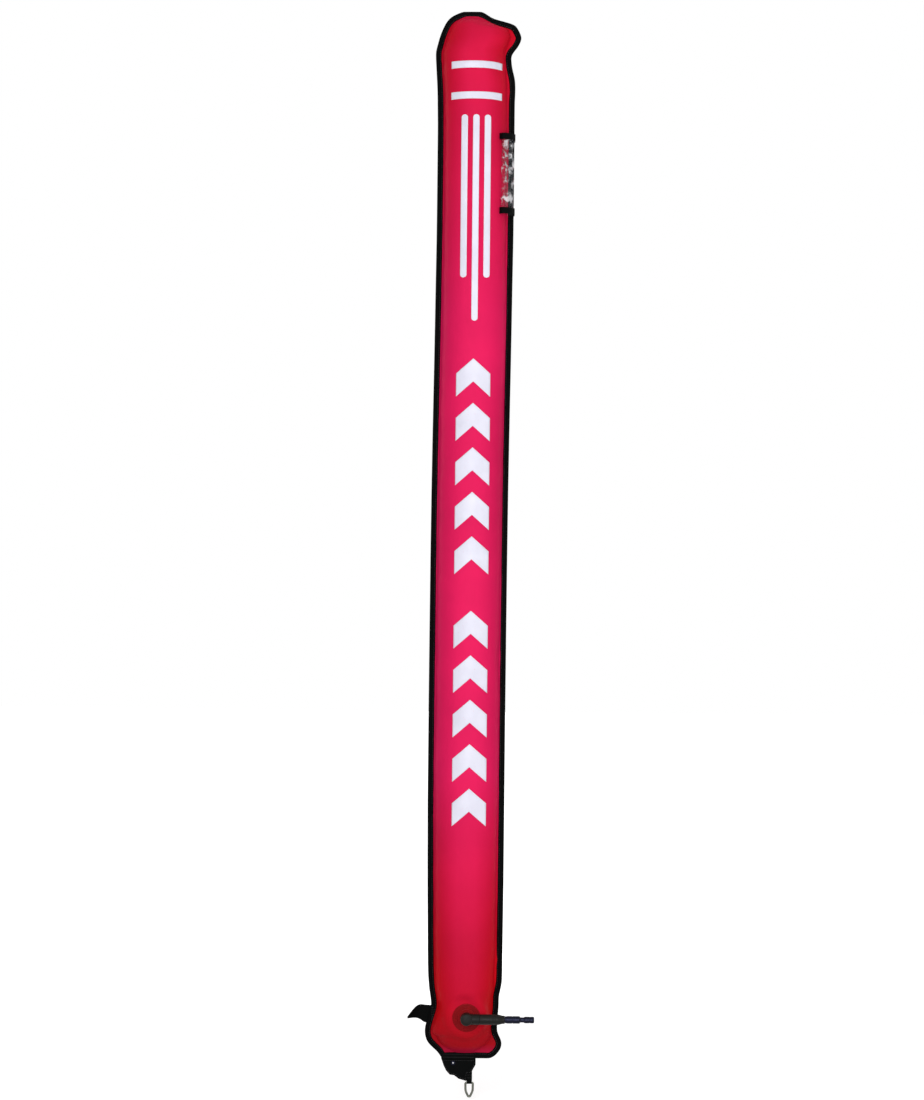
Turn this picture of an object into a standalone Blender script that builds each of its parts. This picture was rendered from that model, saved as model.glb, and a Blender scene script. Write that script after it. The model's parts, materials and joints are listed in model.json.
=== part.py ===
# Surface marker buoy: a diver's signal tube, inflated and upright.
# Metres, +Z up. The front faces -Y and the inflator stem points along +X.
# The origin is on the tube's axis, at the middle of the bottom seam edge.

import math

import bmesh
import bpy
from mathutils import Vector

# Fits
CLEARANCE = 0.0003
MERGE = 0.00001
CUT_PAST = 0.01

# Envelope
TUBE_LENGTH = 1.829
TUBE_RADIUS = 0.052
SEAM_MARGIN = 0.014
PLY = 0.0006
WELD_GAP = 0.0006
SEAM_HALF = PLY + WELD_GAP / 2
SIDE_COLUMNS = 14
MIDDLE_ROWS = 7

# Rounded ends of the gas space, front to back
END_SEAM = 0.015
TOP_DOME = 0.095
BOTTOM_SEAM = 0.0145
BOTTOM_DOME = 0.0935
END_SHARE = 0.35

# Seam edge at each side: height above the bottom, and step in or out from the straight edge
LOWER_LEFT = [(0.000, -0.0280), (0.008, -0.0235), (0.015, -0.0165), (0.022, -0.0085), (0.030, -0.0025),
              (0.043, 0.0008), (0.055, 0.0000), (0.070, -0.0042), (0.090, -0.0096), (0.106, -0.0085),
              (0.120, -0.0062), (0.150, -0.0038), (0.220, -0.0024), (0.330, -0.0010), (0.450, 0.0)]
LOWER_RIGHT = [(0.000, -0.0190), (0.003, -0.0130), (0.008, -0.0083), (0.015, -0.0031), (0.023, -0.0006),
               (0.030, -0.0014), (0.037, -0.0046), (0.044, -0.0078), (0.052, -0.0088), (0.070, -0.0080),
               (0.090, -0.0064), (0.108, -0.0060), (0.120, -0.0036), (0.134, -0.0012), (0.180, -0.0007),
               (0.300, 0.0)]

# The same from the top down, with the ear that sticks out at the right
UPPER_LEFT = [(0.000, -0.0460), (0.004, -0.0345), (0.011, -0.0252), (0.018, -0.0190), (0.029, -0.0130),
              (0.043, -0.0071), (0.057, -0.0028), (0.071, 0.0010), (0.095, 0.0014), (0.140, 0.0009),
              (0.200, 0.0)]
UPPER_RIGHT = [(0.000, -0.0510), (0.007, -0.0402), (0.0135, -0.0300), (0.017, -0.0130), (0.0205, 0.0020),
               (0.0275, 0.0084), (0.036, 0.0129), (0.044, 0.0155), (0.052, 0.0127), (0.060, 0.0080),
               (0.068, 0.0012), (0.075, -0.0030), (0.083, -0.0038), (0.098, -0.0027), (0.115, 0.0005),
               (0.130, 0.0012), (0.160, 0.0)]

# Sideways bend of the tube: depth below the top, and how far its axis lies to the right there
BEND = [(0.0, 0.0), (0.029, 0.0008), (0.069, 0.0024), (0.129, 0.0054), (0.159, 0.0059), (0.379, 0.0059),
        (0.469, 0.0051), (0.589, 0.0040), (0.709, 0.0026), (0.829, 0.0014), (0.979, 0.0006), (1.229, 0.0)]

# Heights of the sheet's rows, from the bottom up and from the top down
BOTTOM_ROWS = [0.0, 0.003, 0.0065, 0.0105, 0.0145, 0.0185, 0.024, 0.030, 0.040, 0.050, 0.060,
               0.071, 0.083, 0.095, 0.108, 0.125, 0.150, 0.200]
TOP_ROWS = [0.0, 0.002, 0.0045, 0.0075, 0.0105, 0.0135, 0.017, 0.0205, 0.0245, 0.029, 0.034,
            0.041, 0.048, 0.0555, 0.0625, 0.070, 0.079, 0.095, 0.120, 0.160]

# Edge binding
BINDING_COVER = 0.010
BINDING_THICKNESS = 0.0009
BINDING_ROOM = 0.0028
INSET_PASSES = 4

# Welded flanges
FLANGE_RADIUS = 0.0245
FLANGE_THICKNESS = 0.0012
FLANGE_EASE = 0.0008
SEAT_ROOM = 0.006
SEAT_BLEND = 0.014
SEAT_FADE = 0.018
COLLAR_WALL = 0.004
COLLAR_OUT = 0.005
COLLAR_IN = 0.0025
ROUND = 28
SMALL_ROUND = 20

# Inflator
INFLATOR_X = 0.0045
INFLATOR_Z = 0.077
INFLATOR_PRESS = 0.0055
THROAT_RADIUS = 0.0087
THROAT_BORE = 0.0055
THROAT_IN = 0.006
RING_SECTION = 0.0007
RING_GAP = 0.00015
GROOVE_DEPTH = 0.0016
GROOVE_WIDTH = 0.0022
ELBOW_RADIUS = 0.0105
ELBOW_ROUND = 0.003
STEM_GAP = 0.00085
BOSS_RADIUS = 0.00925
BOSS_REACH = 0.022
LOCK_RING_WIDTH = 0.0035
LOCK_RING_HEIGHT = 0.002

# Stem, along +X from the elbow's axis
SPIGOT_RADIUS = 0.0075
SPIGOT_DEPTH = 0.0105
SPIGOT_GROOVE_SETBACK = 0.0035
STEM_RADIUS = 0.009
STEM_BORE = 0.0049
STEM_TAPER = 0.0535
STEM_END = 0.066
STEM_END_RADIUS = 0.007
STEM_LIP = 0.002

# Quick-connect nipple and its non-return valve
SHANK_DEPTH = 0.012
SHANK_GROOVE_SETBACK = 0.004
SHANK_GROOVE_WIDTH = 0.0016
SHANK_GROOVE_DEPTH = 0.0009
SHANK_RING_SECTION = 0.00038
SHANK_BORE = 0.0032
NIPPLE_RADIUS = 0.0065
NIPPLE_COLLAR = 0.0257
NIPPLE_GROOVE = 0.007
NIPPLE_GROOVE_RADIUS = 0.0045
NIPPLE_HEAD = 0.018
NIPPLE_HEAD_RADIUS = 0.00575
NIPPLE_EDGE = 0.0012
VALVE_BORE = 0.0037
SEAT_BORE = 0.0024
MOUTH_BORE = 0.0032
MOUTH_DEPTH = 0.008
SEAT_HEIGHT = 0.003
SEAL_HEIGHT = 0.0006
POPPET_HEIGHT = 0.0016
PIN_RADIUS = 0.0011
PIN_RECESS = 0.003
SPRING_SPACE = 0.0125
SPRING_SEAT_HEIGHT = 0.002
CHECK_SPRING_WIRE = 0.00022
CHECK_SPRING_TURNS = 5

# Dump valve on the back
DUMP_X = 0.0
DUMP_Z = 0.083
DUMP_PRESS = 0.005
DUMP_SPIGOT = 0.0122
DUMP_SPIGOT_WALL = 0.0022
DUMP_SPIGOT_IN = 0.004
DUMP_RADIUS = 0.019
DUMP_WALL = 0.002
DUMP_FLOOR = 0.002
DUMP_PORT = 0.007
DUMP_RIM_WIDTH = 0.0012
DUMP_RIM_HEIGHT = 0.0014
DUMP_HEIGHT = 0.0181
VENT_COUNT = 6
VENT_WIDTH = 0.006
VENT_HEIGHT = 0.0045
VENT_RISE = 0.0019
CAP_WALL = 0.0017
CAP_SKIRT = 0.007
CAP_TOP = 0.002
CAP_EDGE = 0.0008
DISC_OVERLAP = 0.0025
DISC_HEIGHT = 0.0015
DUMP_SEAL_HEIGHT = 0.001
DISC_BOSS = 0.0052
ROD_RADIUS = 0.0025
DUMP_SPRING_RADIUS = 0.005
DUMP_SPRING_WIRE = 0.00045
DUMP_SPRING_TURNS = 4
KNOB_RADIUS = 0.0075
KNOB_HEIGHT = 0.0077
KNOB_STANDOFF = 0.0018
KNOB_WAIST = 0.0055
KNOB_EDGE = 0.001
KNOB_ENGAGEMENT = 0.005

# Base tab, with its top edge folded over the bottom binding
TAB_THICKNESS = 0.0032
TAB_PLY = 0.0016
TAB_CLASP = 0.0085
TAB_FLARE = 0.0025
TAB_OUTLINE = [(-0.039, 0.012), (-0.039, -0.001), (-0.0345, -0.014), (-0.030, -0.023), (-0.0235, -0.030),
               (-0.016, -0.031), (-0.008, -0.037), (0.004, -0.0405), (0.0155, -0.0405), (0.0155, -0.023),
               (0.0215, -0.012), (0.0215, -0.003), (0.0195, 0.012)]
EYELET_X = -0.018
EYELET_Z = -0.0096
EYELET_BORE = 0.0012
EYELET_BARREL = 0.0007
EYELET_BRIM = 0.0038
EYELET_BRIM_HEIGHT = 0.0006

# Webbing loop and the ring that hangs in it
LOOP_X = 0.0105
LOOP_WIDTH = 0.009
LOOP_PLY = 0.0012
LOOP_LENGTH = 0.0155
RING_WIRE = 0.002
RING_WIDTH = 0.013
RING_HEIGHT = 0.0242
RING_CORNER = 0.0025
RING_SHOULDER = 0.0109
RING_TAPER = [(1.0, 0.0), (0.86, 0.35), (0.55, 0.7), (0.3, 0.94)]
RING_DROP = 0.00125

# Strap at the lower left seam: distance out from STRAP_X, then its lower and upper edge from STRAP_Z
STRAP_X = -0.061
STRAP_Z = 0.092
STRAP_THICKNESS = 0.0016
STRAP_EDGES = [(-0.0090, -0.0320, 0.0010), (0.0000, -0.0320, 0.0012), (0.0080, -0.0310, 0.0015),
               (0.0150, -0.0265, 0.0018), (0.0210, -0.0238, 0.0010), (0.0270, -0.0230, -0.0050),
               (0.0320, -0.0228, -0.0120), (0.0370, -0.0226, -0.0200)]
STRAP_FLAT = 0.0105
STRAP_CURL = 0.014

# Light stick sleeve on the right seam; SLEEVE_WAY points from the tube's axis to the sleeve's middle
SLEEVE_DROP = 0.216
SLEEVE_LENGTH = 0.140
SLEEVE_WALL = 0.0008
SLEEVE_HALF_WIDTH = 0.0165
SLEEVE_HALF_DEPTH = 0.0085
SLEEVE_SIDES = 28
SLEEVE_GAP = 0.001088473
SLEEVE_WAY = (0.0555, -0.0267)
SLEEVE_TILT = 55.0
BAND_HEIGHT = 0.011
BAND_THICKNESS = 0.001
BAND_FOOT = (50.0, 46.0)
BAND_ARC = (-160.0, 14.0)
BAND_WRAP = 0.009

# Finishes: colour, roughness, metallic
NYLON_RED = ((0.78, 0.03, 0.12), 0.45, 0.0)
MOULDED_RED = ((0.45, 0.02, 0.05), 0.35, 0.0)
WEBBING_BLACK = ((0.012, 0.012, 0.014), 0.8, 0.0)
PLASTIC_BLACK = ((0.02, 0.02, 0.018), 0.4, 0.0)
RUBBER_BLACK = ((0.015, 0.015, 0.015), 0.7, 0.0)
PLATED_DARK = ((0.05, 0.05, 0.07), 0.3, 1.0)
STAINLESS = ((0.55, 0.56, 0.55), 0.25, 1.0)
CLEAR_VINYL = ((0.75, 0.78, 0.78), 0.12, 0.0)


def clear_scene():
    for old in list(bpy.data.objects):
        bpy.data.objects.remove(old, do_unlink=True)


def new_collection(name):
    collection = bpy.data.collections.new(name)
    bpy.context.scene.collection.children.link(collection)
    return collection


clear_scene()
PARTS = new_collection("surface_marker_buoy")
CUTTERS = new_collection("cutters")


def make_material(name, finish):
    colour, roughness, metallic = finish
    material = bpy.data.materials.new(name)
    material.use_nodes = True
    shader = material.node_tree.nodes["Principled BSDF"]
    shader.inputs["Base Color"].default_value = (*colour, 1.0)
    shader.inputs["Roughness"].default_value = roughness
    shader.inputs["Metallic"].default_value = metallic
    return material


def add_part(name, data, finish, parent):
    """Put a named piece in the buoy's collection with a material of its own."""
    piece = bpy.data.objects.new(name, data)
    PARTS.objects.link(piece)
    data.materials.append(make_material(name + "_finish", finish))
    piece.parent = parent
    return piece


def add_cutter(name, data, parent):
    cutter = bpy.data.objects.new(name, data)
    CUTTERS.objects.link(cutter)
    cutter.parent = parent
    cutter.hide_render = True
    cutter.display_type = "WIRE"
    return cutter


def add_frame(name, location, turn, parent=None):
    """An empty whose +Z is the axis of what it carries."""
    frame = bpy.data.objects.new(name, None)
    PARTS.objects.link(frame)
    frame.location = location
    frame.rotation_euler = turn
    frame.parent = parent
    return frame


def mesh_from(name, build):
    """A mesh made by a function that fills a bmesh."""
    work = bmesh.new()
    build(work)
    mesh = bpy.data.meshes.new(name)
    work.to_mesh(mesh)
    work.free()
    return mesh


def smooth(mesh):
    mesh.shade_smooth()
    mesh.set_sharp_from_angle(angle=math.radians(35))


def add_screw(piece, segments):
    """Turn the profile in the piece's XZ plane once round its Z axis."""
    turn = piece.modifiers.new("turn", "SCREW")
    turn.axis = "Z"
    turn.angle = math.tau
    turn.steps = segments
    turn.render_steps = segments
    turn.use_merge_vertices = True
    turn.merge_threshold = MERGE
    turn.use_smooth_shade = True


def profile_mesh(name, points, closed):
    """A line of (radius, height) points, which runs down the outer side."""
    def build(work):
        verts = [work.verts.new((radius, 0.0, height)) for radius, height in points]
        for first, second in zip(verts, verts[1:]):
            work.edges.new((first, second))
        if closed:
            work.edges.new((verts[-1], verts[0]))
    return mesh_from(name, build)


def turned(name, points, finish, parent, closed=True, segments=ROUND):
    piece = add_part(name, profile_mesh(name, points, closed), finish, parent)
    add_screw(piece, segments)
    return piece


def turned_cutter(name, points, parent, closed=False, segments=ROUND):
    cutter = add_cutter(name, profile_mesh(name, points, closed), parent)
    add_screw(cutter, segments)
    return cutter


def rod_profile(radius, low, high):
    return [(0.0, high), (radius, high), (radius, low), (0.0, low)]


def washer_profile(inner, outer, low, high):
    return [(inner, high), (outer, high), (outer, low), (inner, low)]


def boolean(piece, cutter, operation):
    cut = piece.modifiers.new(operation.lower(), "BOOLEAN")
    cut.operation = operation
    cut.object = cutter
    cut.solver = "EXACT"


def add_solidify(piece, thickness, offset):
    wall = piece.modifiers.new("wall", "SOLIDIFY")
    wall.thickness = thickness
    wall.offset = offset
    wall.use_even_offset = True


def o_ring(name, groove_radius, section, height, parent):
    """A rubber ring of round section that lies in a groove round the frame's axis."""
    sides = 8
    radius = groove_radius + RING_GAP + section
    points = []
    for step in range(sides):
        angle = -math.tau * step / sides
        points.append((radius + section * math.cos(angle), height + section * math.sin(angle)))
    return turned(name, points, RUBBER_BLACK, parent, segments=SMALL_ROUND)


def coil(name, radius, wire, turns, low, high, finish, parent):
    """A round-wire compression spring along the frame's axis."""
    per_turn = 10
    count = turns * per_turn
    curve = bpy.data.curves.new(name, "CURVE")
    curve.dimensions = "3D"
    curve.bevel_depth = wire
    curve.bevel_resolution = 1
    curve.use_fill_caps = True
    spline = curve.splines.new("POLY")
    spline.points.add(count)
    rise = high - low - 2 * wire
    for step in range(count + 1):
        angle = math.tau * step / per_turn
        height = low + wire + rise * step / count
        spline.points[step].co = (radius * math.cos(angle), radius * math.sin(angle), height, 1.0)
    return add_part(name, curve, finish, parent)


def between(points, position):
    """Value at a position on a smooth curve through (position, value) points."""
    if position <= points[0][0]:
        return points[0][1]
    if position >= points[-1][0]:
        return points[-1][1]
    index = next(i for i in range(len(points) - 1) if position <= points[i + 1][0])

    def slope(i):
        before = points[max(i - 1, 0)]
        after = points[min(i + 1, len(points) - 1)]
        return (after[1] - before[1]) / (after[0] - before[0])

    start, end = points[index], points[index + 1]
    span = end[0] - start[0]
    t = (position - start[0]) / span
    value = (2 * t ** 3 - 3 * t ** 2 + 1) * start[1] + (3 * t ** 2 - 2 * t ** 3) * end[1]
    value += span * (t ** 3 - 2 * t ** 2 + t) * slope(index)
    value += span * (t ** 3 - t ** 2) * slope(index + 1)
    return value


def bend_at(height):
    """How far the tube's axis lies to the right at a height."""
    return between(BEND, TUBE_LENGTH - height)


def seam_reach(side, height):
    """Distance from the axis to the seam edge on one side, -1 left or 1 right."""
    lower, upper = (LOWER_LEFT, UPPER_LEFT) if side < 0 else (LOWER_RIGHT, UPPER_RIGHT)
    straight = TUBE_RADIUS + SEAM_MARGIN + side * bend_at(height)
    if height < TUBE_LENGTH / 2:
        return straight + between(lower, height)
    return straight + between(upper, TUBE_LENGTH - height)


def gas_reach(side, height):
    """Half width of the gas space at a height, which keeps its distance from the seam edge."""
    room = BINDING_COVER + BINDING_ROOM
    steps = 12
    reach = TUBE_RADIUS + side * bend_at(height)
    for step in range(-steps, steps + 1):
        rise = room * step / steps
        if 0.0 <= height + rise <= TUBE_LENGTH:
            inset = math.sqrt(max(room * room - rise * rise, 0.0))
            reach = min(reach, seam_reach(side, height + rise) - inset)
    return max(reach, END_SHARE * seam_reach(side, height))


def gas_depth(height):
    """Half depth of the gas space at a height: full, but rounded to nothing at the ends."""
    into_top = height - (TUBE_LENGTH - END_SEAM - TOP_DOME)
    into_bottom = (BOTTOM_SEAM + BOTTOM_DOME) - height
    share = max(into_top / TOP_DOME, into_bottom / BOTTOM_DOME, 0.0)
    return TUBE_RADIUS * math.sqrt(max(1 - share * share, 0.0))


def seat_weight(distance):
    """1 on the flat seat of a valve, falling smoothly to 0 round it."""
    t = (distance - FLANGE_RADIUS - SEAT_ROOM) / SEAT_BLEND
    t = min(max(t, 0.0), 1.0)
    return 1 - t * t * (3 - 2 * t)


def valve_seat(face):
    """Depth of a valve's flat seat, and its centre across and up: -1 inflator or 1 dump valve."""
    if face < 0:
        return TUBE_RADIUS - INFLATOR_PRESS, INFLATOR_X, INFLATOR_Z
    return TUBE_RADIUS - DUMP_PRESS, DUMP_X, DUMP_Z


def panel_point(face, across, height):
    """Outer surface point; face is -1 front or 1 back, across runs from -1 to 1 left to right."""
    columns = SIDE_COLUMNS + 2
    column = round((across + 1) / 2 * columns)
    left = gas_reach(-1, height)
    right = gas_reach(1, height)
    if column == 0:
        return Vector((-seam_reach(-1, height), face * SEAM_HALF, height))
    if column == columns:
        return Vector((seam_reach(1, height), face * SEAM_HALF, height))
    angle = math.pi * (column - 1) / SIDE_COLUMNS
    x = (right - left) / 2 - (right + left) / 2 * math.cos(angle)
    depth = SEAM_HALF + gas_depth(height) * math.sin(angle)
    seat, seat_x, seat_z = valve_seat(face)
    fade = min((depth - SEAM_HALF) / SEAT_FADE, 1.0)
    weight = seat_weight(math.hypot(x - seat_x, height - seat_z)) * fade
    return Vector((x, face * (depth + (seat - depth) * weight), height))


def row_heights():
    """Heights of the sheet rows, close together at the ends."""
    rows = list(BOTTOM_ROWS)
    low = BOTTOM_ROWS[-1]
    high = TUBE_LENGTH - TOP_ROWS[-1]
    rows += [low + (high - low) * step / MIDDLE_ROWS for step in range(1, MIDDLE_ROWS)]
    rows += [TUBE_LENGTH - depth for depth in reversed(TOP_ROWS)]
    return rows


def make_panel(name, face, hole_radius, valve_frame, parent):
    """One sheet of the envelope: a grid laid on its outer surface, given its ply inwards."""
    rows = row_heights()
    columns = SIDE_COLUMNS + 2

    def build(work):
        bmesh.ops.create_grid(work, x_segments=columns, y_segments=len(rows) - 1, size=1.0)
        for vert in work.verts:
            row = round((vert.co.y + 1) / 2 * (len(rows) - 1))
            vert.co = panel_point(face, -face * vert.co.x, rows[row])

    panel = add_part(name, mesh_from(name, build), NYLON_RED, parent)
    add_solidify(panel, PLY, -1.0)
    hole = turned_cutter(name + "_hole", rod_profile(hole_radius, -CUT_PAST, CUT_PAST), valve_frame)
    boolean(panel, hole, "DIFFERENCE")
    smooth(panel.data)
    return panel


def seam_loop():
    """Seam edge points in order: up the right side, over the top, down the left, along the bottom."""
    rows = row_heights()
    right = [Vector((seam_reach(1, z), 0.0, z)) for z in rows]
    left = [Vector((-seam_reach(-1, z), 0.0, z)) for z in reversed(rows)]
    loop = list(right)
    loop += [right[-1].lerp(left[0], share / 3) for share in (1, 2)]
    loop += left
    loop += [left[-1].lerp(right[0], share / 4) for share in (1, 2, 3)]
    return loop


def inset_loop(loop, distance, passes=0):
    """The loop moved inwards; averaged directions keep a deep inset from crossing itself."""
    count = len(loop)
    inward = []
    for i in range(count):
        along = (loop[(i + 1) % count] - loop[i - 1]).normalized()
        inward.append(Vector((-along.z, 0.0, along.x)))
    for step in range(passes):
        inward = [(inward[i - 1] + 2 * inward[i] + inward[(i + 1) % count]).normalized() for i in range(count)]
    return [point + turn * distance for point, turn in zip(loop, inward)]


def make_binding(parent):
    """The tape folded over the seam: a U laid round the edge, with its thickness outwards."""
    loop = seam_loop()
    edge = inset_loop(loop, -CLEARANCE)
    inner = inset_loop(loop, BINDING_COVER, passes=INSET_PASSES)
    half = SEAM_HALF + CLEARANCE
    rails = [(inner, half), (edge, half), (edge, -half), (inner, -half)]

    def build(work):
        rings = []
        for rail, depth in rails:
            rings.append([work.verts.new((p.x, depth, p.z)) for p in rail])
        for first, second in zip(rings, rings[1:]):
            for i in range(len(loop)):
                j = (i + 1) % len(loop)
                work.faces.new((first[i], first[j], second[j], second[i]))
        bmesh.ops.recalc_face_normals(work, faces=work.faces)
        front = min(work.faces, key=lambda face: face.calc_center_median().y)
        if front.normal.y > 0:
            bmesh.ops.reverse_faces(work, faces=work.faces)

    binding = add_part("edge_binding", mesh_from("edge_binding", build), WEBBING_BLACK, parent)
    add_solidify(binding, BINDING_THICKNESS, 1.0)
    return binding


def flange_profile(bore):
    """A welded flange: a flat skirt on the fabric and a collar through it."""
    outer = bore + COLLAR_WALL
    top = CLEARANCE + COLLAR_OUT
    skirt = CLEARANCE + FLANGE_THICKNESS
    ease = FLANGE_EASE
    return [(bore, top), (outer - ease, top), (outer, top - ease), (outer, skirt + ease),
            (outer + ease, skirt), (FLANGE_RADIUS - ease, skirt), (FLANGE_RADIUS, CLEARANCE),
            (outer, CLEARANCE), (outer, -COLLAR_IN), (bore, -COLLAR_IN)]


def make_inflator(root):
    """The swivel inflator: flange, elbow, stem, nipple and the non-return valve in it."""
    depth, x, z = valve_seat(-1)
    seat = add_frame("inflator_swivel", (x, -depth, z), (math.pi / 2, 0, 0), root)
    head_low = CLEARANCE + COLLAR_OUT + CLEARANCE
    rise = max(head_low, INFLATOR_PRESS + SEAM_HALF) + STEM_GAP + BOSS_RADIUS
    stem = add_frame("stem_axis", (0, 0, rise), (0, math.pi / 2, 0), seat)
    throat_bore = THROAT_RADIUS + CLEARANCE
    turned("inflator_flange", flange_profile(throat_bore), MOULDED_RED, seat)

    head_top = rise + ELBOW_RADIUS
    groove_top = (head_low + GROOVE_WIDTH) / 2
    groove_low = groove_top - GROOVE_WIDTH
    groove_radius = THROAT_RADIUS - GROOVE_DEPTH
    elbow_profile = [(0.0, head_top), (ELBOW_RADIUS - ELBOW_ROUND, head_top)]
    for step in (1, 2, 3):
        angle = math.pi / 2 * (1 - step / 3)
        elbow_profile.append((ELBOW_RADIUS - ELBOW_ROUND * (1 - math.cos(angle)),
                              head_top - ELBOW_ROUND * (1 - math.sin(angle))))
    elbow_profile += [(ELBOW_RADIUS, head_low), (THROAT_RADIUS, head_low), (THROAT_RADIUS, groove_top),
                      (groove_radius, groove_top), (groove_radius, groove_low), (THROAT_RADIUS, groove_low),
                      (THROAT_RADIUS, -THROAT_IN), (0.0, -THROAT_IN)]
    elbow = turned("inflator_elbow", elbow_profile, PLASTIC_BLACK, seat, closed=False)
    boss = turned_cutter("elbow_boss", rod_profile(BOSS_RADIUS, 0.0, BOSS_REACH), stem)
    socket_low = BOSS_REACH - SPIGOT_DEPTH - CLEARANCE
    socket_bore = SPIGOT_RADIUS + CLEARANCE
    throat_low = -THROAT_IN - CUT_PAST
    throat = turned_cutter("elbow_throat", rod_profile(THROAT_BORE, throat_low, rise + THROAT_BORE), seat)
    mouth = BOSS_REACH + CUT_PAST
    outlet = turned_cutter("elbow_outlet", [(0.0, mouth), (socket_bore, mouth), (socket_bore, socket_low),
                                            (THROAT_BORE, socket_low), (THROAT_BORE, 0.0), (0.0, 0.0)], stem)
    boolean(elbow, boss, "UNION")
    boolean(elbow, throat, "DIFFERENCE")
    boolean(elbow, outlet, "DIFFERENCE")

    lock_top = -COLLAR_IN - CLEARANCE
    turned("elbow_lock_ring", washer_profile(throat_bore, throat_bore + LOCK_RING_WIDTH,
                                             lock_top - LOCK_RING_HEIGHT, lock_top), PLASTIC_BLACK, seat)
    o_ring("swivel_o_ring", groove_radius, RING_SECTION, (groove_low + groove_top) / 2, seat)

    low = BOSS_REACH - SPIGOT_DEPTH
    shoulder = BOSS_REACH + CLEARANCE
    ring_low = low + SPIGOT_GROOVE_SETBACK
    ring_top = ring_low + GROOVE_WIDTH
    ring_radius = SPIGOT_RADIUS - GROOVE_DEPTH
    turned("inflator_stem", [(STEM_BORE, STEM_END), (STEM_END_RADIUS, STEM_END),
                             (STEM_END_RADIUS, STEM_END - STEM_LIP), (STEM_RADIUS, STEM_TAPER),
                             (STEM_RADIUS, shoulder), (SPIGOT_RADIUS, shoulder), (SPIGOT_RADIUS, ring_top),
                             (ring_radius, ring_top), (ring_radius, ring_low), (SPIGOT_RADIUS, ring_low),
                             (SPIGOT_RADIUS, low), (STEM_BORE, low)], PLASTIC_BLACK, stem)
    o_ring("stem_o_ring", ring_radius, RING_SECTION, (ring_low + ring_top) / 2, stem)
    make_nipple(stem)
    return seat


def make_nipple(stem):
    """The quick-connect nipple, with a sprung poppet behind its mouth."""
    collar = STEM_END + CLEARANCE
    groove = collar + NIPPLE_COLLAR
    head = groove + NIPPLE_GROOVE
    end = head + NIPPLE_HEAD
    shank = STEM_BORE - CLEARANCE
    shank_low = STEM_END - SHANK_DEPTH
    seal_low = shank_low + SHANK_GROOVE_SETBACK
    seal_top = seal_low + SHANK_GROOVE_WIDTH
    seal_radius = shank - SHANK_GROOVE_DEPTH
    seat_top = end - MOUTH_DEPTH
    seat_low = seat_top - SEAT_HEIGHT
    turned("inlet_nipple", [(MOUTH_BORE, end), (NIPPLE_HEAD_RADIUS - NIPPLE_EDGE, end),
                            (NIPPLE_HEAD_RADIUS, end - NIPPLE_EDGE), (NIPPLE_HEAD_RADIUS, head + NIPPLE_EDGE),
                            (NIPPLE_GROOVE_RADIUS, head), (NIPPLE_GROOVE_RADIUS, groove + NIPPLE_EDGE),
                            (NIPPLE_RADIUS, groove), (NIPPLE_RADIUS, collar), (shank, collar),
                            (shank, seal_top), (seal_radius, seal_top), (seal_radius, seal_low),
                            (shank, seal_low), (shank, shank_low), (SHANK_BORE, shank_low),
                            (SHANK_BORE, collar), (VALVE_BORE, collar), (VALVE_BORE, seat_low),
                            (SEAT_BORE, seat_low), (SEAT_BORE, seat_top), (MOUTH_BORE, seat_top)],
           PLATED_DARK, stem, segments=24)
    o_ring("nipple_o_ring", seal_radius, SHANK_RING_SECTION, (seal_low + seal_top) / 2, stem)

    fit = VALVE_BORE - CLEARANCE
    seal_face = seat_low - CLEARANCE
    seal_back = seal_face - SEAL_HEIGHT
    disc_face = seal_back - CLEARANCE
    disc_back = disc_face - POPPET_HEIGHT
    spring_end = disc_back - SPRING_SPACE
    rod_end = spring_end - SPRING_SEAT_HEIGHT
    pin_end = end - PIN_RECESS
    turned("check_poppet", [(0.0, pin_end), (PIN_RADIUS, pin_end), (PIN_RADIUS, disc_face), (fit, disc_face),
                            (fit, disc_back), (PIN_RADIUS, disc_back), (PIN_RADIUS, rod_end),
                            (0.0, rod_end)], PLATED_DARK, stem, closed=False, segments=SMALL_ROUND)
    turned("check_seal", washer_profile(PIN_RADIUS + CLEARANCE, fit, seal_back, seal_face),
           RUBBER_BLACK, stem, segments=SMALL_ROUND)
    turned("check_spring_seat", washer_profile(PIN_RADIUS + CLEARANCE, fit, spring_end - SPRING_SEAT_HEIGHT,
                                               spring_end), PLASTIC_BLACK, stem, segments=SMALL_ROUND)
    middle_radius = (PIN_RADIUS + fit) / 2
    coil("check_spring", middle_radius, CHECK_SPRING_WIRE, CHECK_SPRING_TURNS,
         spring_end + CLEARANCE, disc_back - CLEARANCE, STAINLESS, stem)


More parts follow.
